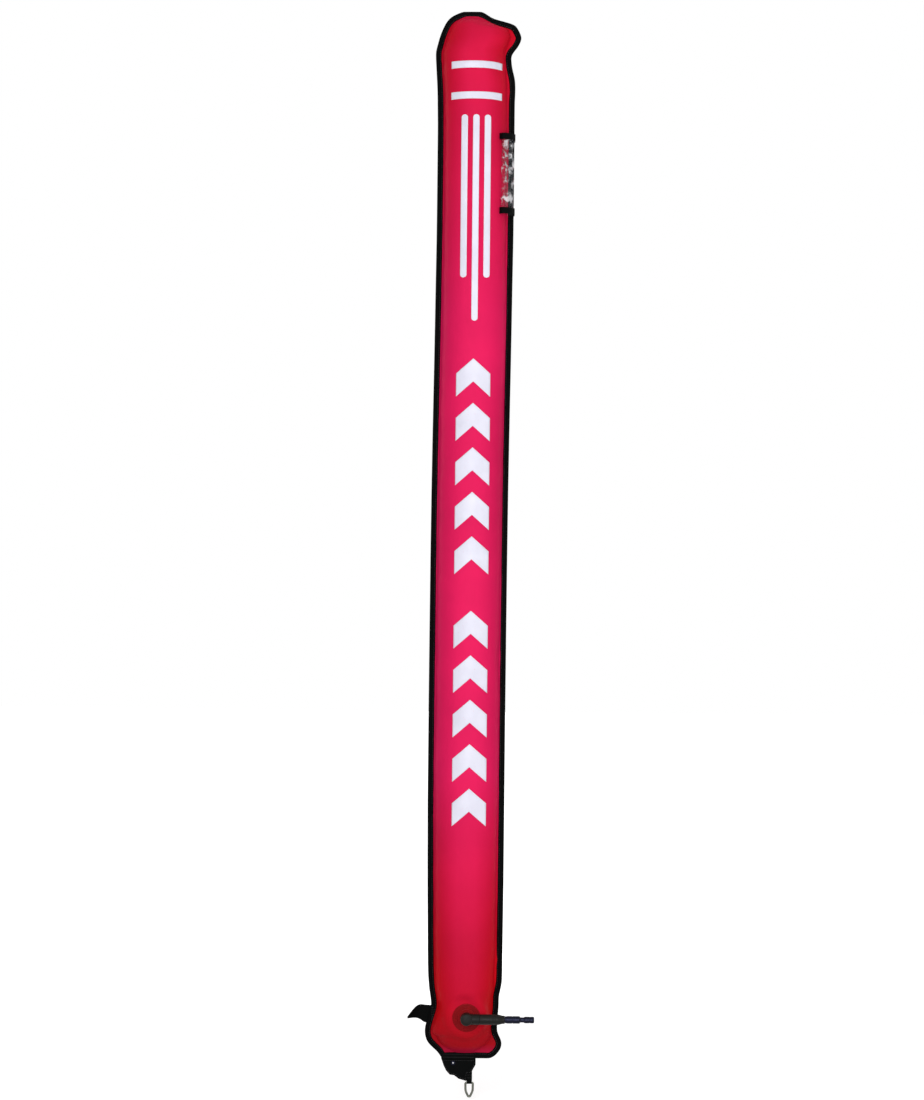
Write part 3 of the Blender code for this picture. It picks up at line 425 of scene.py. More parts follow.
def flange_hole(skin, face, radius):
    """Opens the panel under the valve's collar."""
    seat_y, seat_x, seat_z = SEATS[face]
    work = bmesh.new()
    work.from_mesh(skin.data)
    gone = [item for item in work.faces
            if all(math.hypot(vert.co.x - seat_x, vert.co.z - seat_z) < radius for vert in item.verts)]
    bmesh.ops.delete(work, geom=gone, context="FACES")
    work.to_mesh(skin.data)
    work.free()


class BUOY_OT_panels(Operator):
    """Make the two inflated panels of coated nylon"""

    bl_idname = "buoy.panels"
    bl_label = "Panels"

    def execute(self, context):
        for name, node, face, hole in (("front_skin", "front_panel", -1, 0.0155),
                                       ("back_skin", "back_panel", 1, 0.0192)):
            skin = finished(name, sew_panel(face), polyurethane_coated_nylon, BODY, [node])
            inflate(skin, face)
            flange_hole(skin, face, hole)
            add_modifier(skin, "SUBSURF", "fine", levels=1, render_levels=1)
            add_modifier(skin, "SOLIDIFY", "ply", thickness=0.0005, offset=-1.0)
        return {"FINISHED"}


# ---- printed marks ----


def bar_sheet(x, low, high, half, turned_in=0.0):
    """A flat mark as a fine grid, whose ends are rounded by turned_in."""
    cell = 0.0012 if turned_in else 0.002
    work, _ = grid(max(int(half * 2 / cell), 4), max(int((high - low) / cell), 4))
    for vert in work.verts:
        height = low + (high - low) * (vert.co.y + 1) / 2
        into = min(min(height - low, high - height) / turned_in, 1.0) if turned_in else 1.0
        vert.co = (x + half * vert.co.x * math.sqrt(1 - (1 - into) ** 2), 0.0, height)
    bmesh.ops.remove_doubles(work, verts=work.verts, dist=0.00005)
    return work


def chevron_sheet(x, low, half, thick, rise):
    """An arrowhead mark that points up, as a fine grid."""
    work, _ = grid(30, 16)
    for vert in work.verts:
        up = low + rise * (1 - abs(vert.co.x)) + thick * (vert.co.y + 1) / 2
        vert.co = (x + half * vert.co.x, 0.0, up)
    return work


class BUOY_OT_marks(Operator):
    """Print plain white bars, stripes and arrowheads on the front panel"""

    bl_idname = "buoy.marks"
    bl_label = "Printed marks"

    def execute(self, context):
        cloth = BVHTree.FromObject(bpy.data.objects["front_skin"], context.evaluated_depsgraph_get())
        sheets = [bar_sheet(0.0062, low, low + 0.0125, half=0.0438) for low in (1.7235, 1.6700)]
        sheets += [bar_sheet(x, low, 1.6430, half=0.0055, turned_in=0.0055)
                   for x, low in ((-0.0140, 1.3600), (0.0060, 1.2850), (0.0260, 1.3600))]
        pitch, thick, rise = 0.077, 0.040, 0.026
        for low in (1.2200 - 0.066, 0.7830 - 0.066):
            sheets += [chevron_sheet(0.0050, low - pitch * step, 0.0295, thick, rise) for step in range(5)]
        work = bmesh.new()
        for sheet in sheets:
            flat = mesh_of(sheet, "mark")
            work.from_mesh(flat)
            bpy.data.meshes.remove(flat)
        for vert in work.verts:
            spot, normal, _, _ = cloth.ray_cast(Vector((vert.co.x, -0.5, vert.co.z)), Vector((0, 1, 0)))
            if spot is None:
                raise RuntimeError("a printed mark misses the front panel")
            vert.co = spot + normal * 0.00035
        for item in work.faces:
            item.normal_update()
        bmesh.ops.reverse_faces(work, faces=[item for item in work.faces if item.normal.y > 0])
        layer = finished("printed_marks", work, screen_ink, BODY)
        add_modifier(layer, "SOLIDIFY", "layer", thickness=0.0001, offset=-1.0)
        return {"FINISHED"}


# ---- bound edge ----


def seam_path():
    """Points of the seam edge in order: up the right side, over the top, down the left, along the bottom."""
    cell = 0.005
    rows = cloth_rows(cell)
    right = [Vector((seam_reach(1, z), 0.0, z)) for z in rows]
    left = [Vector((-seam_reach(-1, z), 0.0, z)) for z in reversed(rows)]

    def link(first, last):
        count = max(int((last - first).length / cell), 2)
        return [first.lerp(last, step / count) for step in range(1, count)]

    return right + link(right[-1], left[0]) + left + link(left[-1], right[0])


def inward(path):
    """Directions into the tube at each seam point, averaged so that a wide tape doesn't cross itself."""
    count = len(path)
    turns = []
    for i in range(count):
        along = (path[(i + 1) % count] - path[i - 1]).normalized()
        turns.append(Vector((-along.z, 0.0, along.x)))
    for _ in range(4):
        turns = [(turns[i - 1] + 2 * turns[i] + turns[(i + 1) % count]).normalized() for i in range(count)]
    return turns


def stitch(work, place, along, out, length=0.0030):
    """One stitch: a small rounded bar of thread that lies on the surface."""
    width = 0.0007
    across = along.cross(out).normalized()
    axes = Matrix((along * length / 2, across * width / 2, out * width * 0.35)).transposed().to_4x4()
    bmesh.ops.create_icosphere(work, subdivisions=1, radius=1.0, matrix=Matrix.Translation(place) @ axes)


def stitch_row(work, points, out):
    """Stitches along a line of points on a surface that faces out."""
    pitch, length = 0.0036, 0.0027
    for first, last in zip(points, points[1:]):
        count = max(int((last - first).length / pitch), 1)
        for number in range(count):
            stitch(work, first.lerp(last, (number + 0.5) / count), (last - first).normalized(), out, length)


def sewn(name, work):
    finished(name, outward(work), polyester_thread, BODY)


class BUOY_OT_edge_tape(Operator):
    """Make the tape that is folded over the seam, and its stitches"""

    bl_idname = "buoy.edge_tape"
    bl_label = "Edge tape"

    def execute(self, context):
        path = seam_path()
        turns = inward(path)
        count = len(path)
        run = running_length(path, closed=True)
        half = SEAM_HALF + 0.0003 + TAPE_THICKNESS / 2
        profile = [(TAPE_COVER, -half * 0.85), (TAPE_COVER - 0.0016, -half), (0.0055, -half), (0.0022, -half)]
        for step in range(5):
            angle = math.pi * (step + 0.5) / 5
            profile.append((0.0008 - half * math.sin(angle), -half * math.cos(angle)))
        profile += [(inside, -depth) for inside, depth in reversed(profile[:4])]
        over = running_length([Vector(point) for point in profile])
        work, place = grid(len(profile) - 1, count, "weave", lambda i, j: (over[i], run[j]))
        for vert, (i, j) in place.items():
            inside, depth = profile[i]
            at = path[j % count]
            width = 1 + 0.05 * noise.noise(at * 30 + Vector((0, 4, 0)))
            point = at + turns[j % count] * inside * width
            ripple = 0.0003 * noise.noise(at * 130) * ease(inside, 0.002, 0.009)
            vert.co = (point.x, depth + ripple + seam_wave(at.x, at.z), point.z)
        tape = finished("edge_tape", outward(work, 0.00002), grosgrain_tape, BODY,
                        ["edge_binding"])
        add_modifier(tape, "SOLIDIFY", "thickness", thickness=TAPE_THICKNESS, offset=0.0)
        add_modifier(tape, "SUBSURF", "fine", levels=1, render_levels=1)

        pitch, inset = settings().stitch_pitch, TAPE_COVER - 0.0024
        work = bmesh.new()
        j = 0
        for number in range(int(run[-1] / pitch)):
            while run[j + 1] <= number * pitch:
                j += 1
            share = (number * pitch - run[j]) / (run[j + 1] - run[j])
            first = path[j] + turns[j] * inset
            last = path[(j + 1) % count] + turns[(j + 1) % count] * inset
            middle = first.lerp(last, share)
            wave = seam_wave(path[j].x, path[j].z)
            for side in (-1, 1):
                spot = Vector((middle.x, side * (half + TAPE_THICKNESS / 2) + wave, middle.z))
                stitch(work, spot, (last - first).normalized(), Vector((0, side, 0)))
        sewn("edge_stitches", work)
        return {"FINISHED"}


# ---- shared shapes ----


def turned(profile, place, steps=72, closed=False):
    """A shape spun about its Z axis from (radius, height) points, then put in its place."""
    work = bmesh.new()
    verts = [work.verts.new((radius, 0.0, height)) for radius, height in profile]
    edges = [work.edges.new(pair) for pair in zip(verts, verts[1:])]
    if closed:
        edges.append(work.edges.new((verts[-1], verts[0])))
    bmesh.ops.spin(work, geom=verts + edges, cent=(0, 0, 0), axis=(0, 0, 1), angle=math.tau, steps=steps,
                   use_merge=True)
    bmesh.ops.transform(outward(work, 1e-6), matrix=place, verts=work.verts, space=Matrix.Identity(4))
    return work


def rod(radius, low, high):
    return [(0.0, high), (radius, high), (radius, low), (0.0, low)]


def cut_shape(base, joined=(), removed=()):
    """One shape from closed ones: the joined ones are added to the base, then the removed ones taken away."""
    holders = [put("cut", mesh_of(work, "cut")) for work in (base, *joined, *removed)]
    for number, holder in enumerate(holders[1:]):
        operation = "UNION" if number < len(joined) else "DIFFERENCE"
        add_modifier(holders[0], "BOOLEAN", operation, operation=operation, object=holder, solver="EXACT")
    shaped = holders[0].evaluated_get(bpy.context.evaluated_depsgraph_get())
    work = bmesh.new()
    work.from_mesh(shaped.data)
    for holder in holders:
        bpy.data.objects.remove(holder, do_unlink=True)
    # Points that a cut leaves closer than this would give faces without area
    close = 0.00005
    bmesh.ops.remove_doubles(work, verts=work.verts, dist=close)
    bmesh.ops.dissolve_degenerate(work, edges=work.edges, dist=close)
    return outward(work)


def ribbon(path, span, cells=6):
    """A strip as a grid along a path, spread evenly along span, with a UV map in metres."""
    run, half = running_length(path), span.length / 2
    work, place = grid(cells, len(path) - 1, "weave", lambda i, j: ((2 * i / cells - 1) * half, run[j]))
    for vert, (_, j) in place.items():
        vert.co = path[j] + span * (vert.co.x / 2)
    return work


def cad_copy(node):
    """A merged copy of a CAD node, with flat faces joined and a UV map laid on its front."""
    work = bmesh.new()
    work.from_mesh(frame["nodes"][node].data)
    for layer in list(work.loops.layers.uv.values()):
        work.loops.layers.uv.remove(layer)
    bmesh.ops.remove_doubles(work, verts=work.verts, dist=1e-6)
    bmesh.ops.dissolve_limit(work, angle_limit=math.radians(1.0), verts=work.verts, edges=work.edges)
    lay_uv(work, "weave", lambda vert: (vert.co.x, vert.co.z))
    return work


# ---- base ----

RING_PIVOT = Vector((0.0105, 0.0, -0.04375))


class BUOY_OT_base(Operator):
    """Make the base tab, its eyelet and its webbing loop with the line ring"""

    bl_idname = "buoy.base"
    bl_label = "Base tab and ring"

    def execute(self, context):
        eased(finished("base_webbing_tab", cad_copy("base_tab"), nylon_webbing, BODY,
                       ["base_tab"]), 0.0005, 3, 25)

        clear, ends = 0.0023, (0.0155, 0.0100, 0.0050, 0.0020)
        path = [Vector((0, -clear, z)) for z in ends]
        path += [Vector((0, clear * math.cos(angle), clear * math.sin(angle)))
                 for angle in (math.pi * (1 + step / 16) for step in range(17))]
        path += [Vector((0, clear, z)) for z in reversed(ends)]
        loop = ribbon([point + RING_PIVOT for point in path], Vector((0.009, 0, 0)))
        strip = finished("ring_webbing_loop", loop, nylon_webbing, BODY, ["ring_loop"])
        add_modifier(strip, "SOLIDIFY", "thickness", thickness=0.0012, offset=1.0)
        eased(strip, 0.0003, 2, 50)

        rolled = mm((1.2, 1.6), (1.4, 2.2), (2, 2.5), (2.8, 2.4), (3.5, 2.1), (3.8, 1.8), (1.9, 1.8),
                    (1.9, -2.4), (1.2, -2.4))
        washer = mm((2.2, -1.9), (3.8, -1.9), (3.7, -2.2), (3, -2.5), (2.2, -2.5))
        eyelet = Matrix.Translation((-0.018, 0, -0.0096)) @ Matrix.Rotation(math.pi / 2, 4, "X")
        rim = finished("tab_eyelet_rim", turned(rolled, eyelet, 40, closed=True), black_nickel_brass, BODY,
                       ["tab_eyelet"])
        eased(rim, 0.0001)
        finished("tab_eyelet_back", turned(washer, eyelet, 40, closed=True), black_nickel_brass, BODY,
                 ["tab_eyelet_washer"])
        finished("line_ring_wire", bent_ring(), stainless_wire, "ring", ["line_ring"])

        # Rows of stitches, each on its surface's depth: round the tab, along its top, and over the loop
        hem = mm((19, -5), (-35.5, -5), (-32, -14.5), (-27.8, -22), (-22.5, -27.5), (-15, -28.5), (-7, -34.5),
                 (4, -37.8), (5, -29), (5, -26), (13.3, -26), (13.3, -22.2), (19.2, -11.5), (19.2, -6))
        rows = [(0.0016, hem)]
        rows += [(0.0040, [(-0.0362, z), (0.0186, z)]) for z in (0.0010, 0.0062)]
        rows += [(0.0035, [(0.0068, z), (0.0142, z)]) for z in (-0.0300, -0.0350)]
        work = bmesh.new()
        for side in (-1, 1):
            for depth, row in rows:
                stitch_row(work, [Vector((x, side * depth, z)) for x, z in row], Vector((0, side, 0)))
        sewn("tab_stitches", work)
        return {"FINISHED"}


def bent_ring():
    """The pear-shaped ring, bent from one length of round wire."""
    half, corner, wire, height, shoulder = 0.0065, 0.0025, 0.0020, 0.0242, 0.0109
    line = [Vector((half - corner + corner * math.sin(angle), 0, corner * math.cos(angle) - corner))
            for angle in (math.pi / 2 * step / 8 for step in range(9))]
    taper = [(0.0, 1.0), (0.35, 0.86), (0.7, 0.55), (0.94, 0.3)]
    line += [Vector((half * between(taper, down), 0, -shoulder - (height - shoulder) * down))
             for down in (0.94 * step / 13 for step in range(1, 14))]
    for angle in (math.radians(22 * step) for step in range(1, 4)):
        down = 0.94 + 0.06 * math.sin(angle)
        line.append(Vector((0.3 * half * math.cos(angle), 0, -shoulder - (height - shoulder) * down)))
    points = line + [Vector((0, 0, -height))] + [Vector((-point.x, 0, point.z)) for point in reversed(line)]
    points = [point + RING_PIVOT for point in points]
    places = []
    for i, point in enumerate(points):
        along = (points[(i + 1) % len(points)] - points[i - 1]).normalized()
        axes = Matrix((Vector((-along.z, 0, along.x)), Vector((0, -1, 0)), along)).transposed()
        places.append(Matrix.Translation(point) @ axes.to_4x4())
    work = bmesh.new()
    bmesh.ops.create_circle(work, segments=16, radius=wire, matrix=places[0])
    first = last = work.edges[:]
    for before, after in zip(places, places[1:]):
        grown = bmesh.ops.extrude_edge_only(work, edges=last)["geom"]
        verts = {item for item in grown if isinstance(item, bmesh.types.BMVert)}
        last = [item for item in grown if isinstance(item, bmesh.types.BMEdge) and set(item.verts) <= verts]
        bmesh.ops.transform(work, matrix=after @ before.inverted(), verts=list(verts),
                            space=Matrix.Identity(4))
    bmesh.ops.bridge_loops(work, edges=first + last)
    return outward(work)


class BUOY_OT_strap(Operator):
    """Make the stow strap behind the left binding, with its free end curled to the front"""

    bl_idname = "buoy.strap"
    bl_label = "Stow strap"

    def execute(self, context):
        lower = mm((-9, -32), (0, -32), (8, -31), (15, -26.5), (21, -23.8), (27, -23), (32, -22.8),
                   (37, -22.6))
        upper = mm((-9, -1.2), (0, -1.2), (8, -0.6), (15, 0), (21, -2), (27, -7.5), (32, -13.5), (37, -19.6))
        edge, base, back = -0.061, 0.092, 0.0032
        inner, reach, flat, free, curl = -0.009, 0.046, 0.0105, 0.0265, 0.014
        work, _ = grid(36, 16)
        for vert in work.verts:
            out = inner + reach * (vert.co.x + 1) / 2
            share = (vert.co.y + 1) / 2
            low, high = between(lower, out), between(upper, out)
            bend = max(out - flat, 0.0) / free
            sag = 0.0012 * bend * math.sin(share * math.pi * 1.4)
            vert.co = (edge - out, back - curl * bend * bend + sag, base + low + (high - low) * share)
        lay_uv(work, "weave", lambda vert: (vert.co.z, vert.co.x))
        strap = finished("stow_webbing_strap", outward(work), nylon_webbing, BODY,
                         ["stow_strap"])
        add_modifier(strap, "SOLIDIFY", "thickness", thickness=0.0016, offset=0.0)
        eased(strap, 0.0004, 2, 50)

        work = bmesh.new()
        for side, face in ((-1, -0.0021), (1, 0.0040)):
            for x in (-0.0560, -0.0538):
                stitch_row(work, [Vector((x, face, z)) for z in (0.0895, 0.0645)], Vector((0, side, 0)))
        sewn("strap_stitches", work)
        return {"FINISHED"}


# ---- light stick sleeve ----

SLEEVE_LOW, SLEEVE_HIGH = 1.473, 1.613
SLEEVE_BEND = Vector((between(BEND, (SLEEVE_LOW + SLEEVE_HIGH) / 2), 0, 0))
SLEEVE_CENTRE, SLEEVE_TILT = Vector((0.0555, -0.0267, 0)), math.radians(55)


def sleeve_point(angle, long_half, short_half, height=0.0):
    """Point on the sleeve's oval, whose long half leans away from the seam, round the tube."""
    point = Vector((long_half * math.cos(angle), short_half * math.sin(angle), height))
    return SLEEVE_CENTRE + Matrix.Rotation(SLEEVE_TILT, 3, "Z") @ point


class BUOY_OT_sleeve(Operator):
    """Make the clear sleeve for a light stick and the two tapes that hold it"""

    bl_idname = "buoy.sleeve"
    bl_label = "Light stick sleeve"

    def execute(self, context):
        # Each tape lies on the cloth, goes round the sleeve, and folds over the seam to the back
        on_cloth, tape_width = 0.0532, 0.011
        path = [Vector((on_cloth * math.cos(angle), -on_cloth * math.sin(angle), 0))
                for angle in (math.radians(degrees) for degrees in (37.0, 38.2, 39.4))]
        path += [sleeve_point(math.radians(-198 + 212 * step / 28), 0.0168, 0.0088) for step in range(29)]
        path += [Vector((x, y, 0)) for x, y in mm((67.5, -4.5), (67.5, -2.4), (67.6, 0), (67.5, 2.1),
                                                  (67, 2.4), (63, 2.4), (58.5, 2.4))]
        work = bmesh.new()
        for name, node, middle in (("sleeve_tape_bottom", "sleeve_band_bottom", SLEEVE_LOW + 0.0055),
                                   ("sleeve_tape_top", "sleeve_band_top", SLEEVE_HIGH - 0.0055)):
            lifted = [point + SLEEVE_BEND + Vector((0, 0, middle)) for point in path]
            strip = outward(ribbon(lifted, Vector((0, 0, tape_width)), 8))
            tape = finished(name, strip, nylon_webbing, BODY, [node])
            add_modifier(tape, "SOLIDIFY", "thickness", thickness=0.0010, offset=1.0)
            eased(tape, 0.0003, 2, 60)
            for side in (-0.0035, 0.0035):
                row = [Vector((x, 0.0035, middle + side)) + SLEEVE_BEND for x in (0.0600, 0.0662)]
                stitch_row(work, row, Vector((0, 1, 0)))
        sewn("sleeve_stitches", work)

        work, _ = grid(84, 150)
        for vert in work.verts:
            angle = math.pi * (vert.co.x + 1)
            height = SLEEVE_LOW + (SLEEVE_HIGH - SLEEVE_LOW) * (vert.co.y + 1) / 2
            around = Vector((math.cos(angle) * 1.3, math.sin(angle) * 1.3, height * 60))
            held = 0.25 + 0.75 * ease(min(height - SLEEVE_LOW, SLEEVE_HIGH - height), 0.009, 0.020)
            fold = abs(noise.noise(around * 0.9)) * 1.5
            fold += 0.6 * abs(noise.noise(around * 2.3 + Vector((5, 5, 5))))
            pull = min(0.0034 * (0.30 - fold) * held, 0.0002)
            vert.co = sleeve_point(angle, 0.0161 + pull, 0.0081 + pull, height) + SLEEVE_BEND
        sleeve = finished("clear_sleeve", outward(work, 0.00001), calendered_vinyl, BODY,
                          ["light_stick_sleeve"])
        add_modifier(sleeve, "SOLIDIFY", "wall", thickness=0.0005, offset=-1.0)
        return {"FINISHED"}


# ---- inflator ----

INFLATOR_PLACE = Matrix.Translation((0.0045, -0.0465, 0.077)) @ Matrix.Rotation(math.pi / 2, 4, "X")
STEM_PLACE = INFLATOR_PLACE @ Matrix.Translation((0, 0, 0.0165)) @ Matrix.Rotation(math.pi / 2, 4, "Y")
DUMP_PLACE = Matrix.Translation((0, 0.047, 0.083)) @ Matrix.Rotation(-math.pi / 2, 4, "X")


def weld_flange(name, bore, place, node):
    """A welded flange: a thin skirt with pressed weld rings, and a collar."""
    outer, edge = bore + 0.004, FLANGE_RADIUS
    points = [(bore, 0.0053), (outer - 0.0008, 0.0053), (outer, 0.0045), (outer, 0.0026),
              (outer + 0.0010, 0.0017)]
    radius = outer + 0.0022
    while radius < edge - 0.0036:
        points += [(radius, 0.0015), (radius + 0.0004, 0.0011), (radius + 0.0011, 0.0011),
                   (radius + 0.0015, 0.0015)]
        radius += 0.0027
    points += [(edge - 0.0012, 0.0014), (edge - 0.0002, 0.0008), (edge, 0.0003), (outer, 0.0003),
               (outer, -0.0025), (bore, -0.0025)]
    eased(finished(name, turned(points, place, 96, closed=True), moulded_polyurethane, BODY,
                   [node]), 0.0002)


class BUOY_OT_inflator(Operator):
    """Make the swivel inflator with its welded flange, elbow, stem and quick-connect nipple"""

    bl_idname = "buoy.inflator"
    bl_label = "Inflator"

    def execute(self, context):
        weld_flange("inflator_weld_flange", 0.009, INFLATOR_PLACE, "inflator_flange")

        head = mm((0, 27), (4.2, 27), (7.5, 26.6), (9.2, 25.9), (10.1, 24.8), (10.5, 23.2), (10.5, 8.6),
                  (10.1, 8), (10.1, 5.6), (8.7, 5.6), (8.7, 3.9), (7.1, 3.9), (7.1, 1.7), (8.7, 1.7),
                  (8.7, -6), (0, -6))
        outlet = mm((0, 32), (7.8, 32), (7.8, 11.2), (5.5, 11.2), (5.5, 0), (0, 0))
        branch, bore = rod(0.00925, 0.0, 0.022), rod(0.0055, -0.016, 0.022)
        elbow = cut_shape(turned(head, INFLATOR_PLACE), joined=[turned(branch, STEM_PLACE)],
                          removed=[turned(bore, INFLATOR_PLACE, 48), turned(outlet, STEM_PLACE, 48)])
        eased(finished("inflator_elbow_body", elbow, moulded_acetal, "inflator",
                       ["inflator_elbow"]), 0.0006, 3, 28)

        stem = mm((4.9, 66), (6.6, 66), (7, 65.5), (7, 64))
        stem += [(0.0070 + 0.0020 * ease(share, 0, 1), 0.0635 - 0.0100 * share)
                 for share in (step / 8 for step in range(1, 9))]
        for at in (50.5, 48, 45.5):
            stem += mm((9, at), (8.7, at - 0.4), (8.7, at - 1), (9, at - 1.4))
        stem += mm((9, 23), (8.6, 22.3), (7.5, 22.3), (7.5, 17.2), (5.9, 17.2), (5.9, 15), (7.5, 15),
                   (7.5, 11.5), (4.9, 11.5))
        eased(finished("inflator_stem_tube", turned(stem, STEM_PLACE, closed=True), moulded_acetal,
                       "inflator", ["inflator_stem"]), 0.0002)

        nipple = mm((3.2, 117), (4.3, 117), (5, 116.6), (5.75, 115.2), (5.75, 110.8), (5.4, 110.2),
                    (5.4, 109.2), (5.75, 108.6), (5.75, 100.4), (4.5, 99), (4.5, 93.4), (5.2, 92.6),
                    (6.4, 91.8), (6.5, 91.2), (6.5, 80.2), (6.1, 79.7), (6.1, 78.7), (6.5, 78.2), (6.5, 70),
                    (6.1, 69.5), (6.1, 67), (6.5, 66.3), (4.6, 66.3), (4.6, 59.6), (3.7, 59.6), (3.7, 58),
                    (4.6, 58), (4.6, 54), (3.2, 54), (3.2, 66.3), (3.7, 66.3), (3.7, 106), (2.4, 106),
                    (2.4, 109), (3.2, 109))
        eased(finished("quick_connect_nipple", turned(nipple, STEM_PLACE, closed=True), black_nickel_brass,
                       "inflator", ["inlet_nipple"]), 0.00015)
        return {"FINISHED"}


class BUOY_OT_dump_valve(Operator):
    """Make the dump valve on the back with its flange, vented housing, cap and pull knob"""

    bl_idname = "buoy.dump_valve"
    bl_label = "Dump valve"

    def execute(self, context):
        weld_flange("dump_weld_flange", 0.0125, DUMP_PLACE, "dump_flange")

        body = mm((17, 23.7), (19, 23.7), (19, 6), (18.6, 5.6), (12.2, 5.6), (12.2, -4), (10, -4), (10, 5.6),
                  (7, 5.6), (7, 9), (8.2, 9), (8.2, 7.6), (17, 7.6))
        slots = []
        for number in range(3):
            slots.append(bmesh.new())
            turn = Matrix.Rotation(math.tau * (number + 0.5) / 6, 4, "Z")
            size = Matrix.Diagonal((0.0475, 0.0060, 0.0045, 1.0))
            bmesh.ops.create_cube(slots[-1], size=1.0,
                                  matrix=DUMP_PLACE @ turn @ Matrix.Translation((0, 0, 0.01175)) @ size)
        housing = cut_shape(turned(body, DUMP_PLACE, 84, closed=True), removed=slots)
        eased(finished("dump_valve_housing", housing, moulded_acetal, BODY,
                       ["dump_housing"]))

        cap = mm((2.8, 26), (9, 26), (9.6, 25.6), (17.2, 25.6), (18, 26), (20.2, 26), (21, 25.2), (21, 17),
                 (19.3, 17), (19.3, 24), (2.8, 24))
        grips = bmesh.new()
        for angle in (math.tau * number / 24 for number in range(24)):
            spot = Matrix.Translation((0.0215 * math.cos(angle), 0.0215 * math.sin(angle), 0.0207))
            bmesh.ops.create_cone(grips, cap_ends=True, segments=12, radius1=0.0010, radius2=0.0010,
                                  depth=0.011, matrix=DUMP_PLACE @ spot)
        gripped = cut_shape(turned(cap, DUMP_PLACE, 96, closed=True), removed=[grips])
        eased(finished("dump_valve_cap", gripped, moulded_acetal, BODY, ["dump_cap"]),
              0.0002, 2, 38)

        knob = mm((0, 34.7), (3.4, 34.7), (4.4, 35.3), (6.2, 35.4), (7.3, 34.8), (7.5, 34), (6.2, 32.2),
                  (5.6, 31.2), (5.8, 29.8), (6.8, 28.4), (6.6, 27.8), (2.8, 27.8), (2.8, 33.1), (0, 33.1))
        eased(finished("dump_pull_knob", turned(knob, DUMP_PLACE), moulded_acetal, "dump_plunger",
                       ["dump_knob"]), 0.0002)
        return {"FINISHED"}


class BUOY_OT_springs(Operator):
    """Make the two valve springs as copies of their CAD coils, at rest; the valves press them together as they
    open
    """

    bl_idname = "buoy.springs"
    bl_label = "Valve springs"

    def execute(self, context):
        for node, body, joint, axis, fixed_end, keep in (
                ("check_spring", "inflator", "check_valve_slide", (1, 0, 0), (0.0955, -0.063, 0.077), 0.78),
                ("dump_spring", BODY, "dump_slide", (0, 1, 0), (0.0, 0.0707, 0.083), 0.55)):
            coil = finished(node + "_coil", cad_copy(node), stainless_wire, body, [node])
            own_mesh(coil)
        return {"FINISHED"}


class BUOY_OT_inner_parts(Operator):
    """Give the seals and other inner parts their materials"""

    bl_idname = "buoy.inner_parts"
    bl_label = "Inner parts"

    def execute(self, context):
        finishes = {"black_plastic": moulded_acetal, "seal_rubber": nitrile_rubber,
                    "plated_metal": black_nickel_brass}
        slots = {row["node"]: row["material_slot"] for row in frame["record"]["subparts"]}
        for name, node in frame["nodes"].items():
            if not node.hide_render:
                for slot in node.material_slots:
                    slot.material = finish(finishes[slots[name]])
        return {"FINISHED"}


# ---- materials ----


def srgb(text):
    """Linear colour from an sRGB hex value such as C81E46."""
    def linear(value):
        return value / 12.92 if value <= 0.04045 else ((value + 0.055) / 1.055) ** 2.4
    return tuple(linear(int(text[i:i + 2], 16) / 255) for i in (0, 2, 4)) + (1.0,)


def hex_of(colour):
    return "".join("%02X" % round(255 * channel) for channel in colour[:3])


def plug(tree, node, inputs):
    """Sets or links a node's inputs, by name or index."""
    for key, value in inputs.items():
        if isinstance(value, bpy.types.NodeSocket):
            tree.links.new(value, node.inputs[key])
        else:
            node.inputs[key].default_value = value


def add_node(tree, kind, *first, out=None, **values):
    """Adds a node and gives its first output, or the one called out.

    Its first inputs may come in order, and others by name, such as From_Min. A name in small letters is one of
    the node's own settings.
    """
    node = tree.nodes.new("ShaderNode" + kind)
    assign(node, **{name: value for name, value in values.items() if name.islower()})
    named = {name.replace("_", " "): value for name, value in values.items() if not name.islower()}
    plug(tree, node, dict(enumerate(first)) | named)
    return node.outputs[out] if out else next(socket for socket in node.outputs if socket.enabled)


def finish(make):
    """The material of a function that gives its shader's inputs, which is made only once."""
    material = bpy.data.materials.get(make.__name__)
    if not material:
        material = bpy.data.materials.new(make.__name__)
        material.use_nodes = True
        tree = material.node_tree
        plug(tree, tree.nodes["Principled BSDF"], make(partial(add_node, tree)))
    return material


def shaded(add, colour, rough, *bumps, **values):
    """A shader's inputs. Each bump is a height, strength and depth, and lies on the one before it."""
    normal = {}
    for height, strength, depth in bumps:
        normal = {"Normal": add("Bump", Height=height, Strength=strength, Distance=depth, **normal)}
    named = {name.replace("_", " "): value for name, value in values.items()}
    return {"Base Color": colour, "Roughness": rough, **normal, **named}


def thread_scale(pitch):
    """Scale of a Wave Texture whose bands are a pitch apart, in metres."""
    return math.tau / 20 / pitch


def woven_height(add, uv, across, along):
    """Height of a plain weave whose threads lie across and along a UV map in metres."""
    threads = [add("TexWave", uv, Scale=thread_scale(pitch), Distortion=0.8, bands_direction=way, out="Fac")
               for pitch, way in ((across, "X"), (along, "Y"))]
    return add("Math", *threads, operation="MULTIPLY")


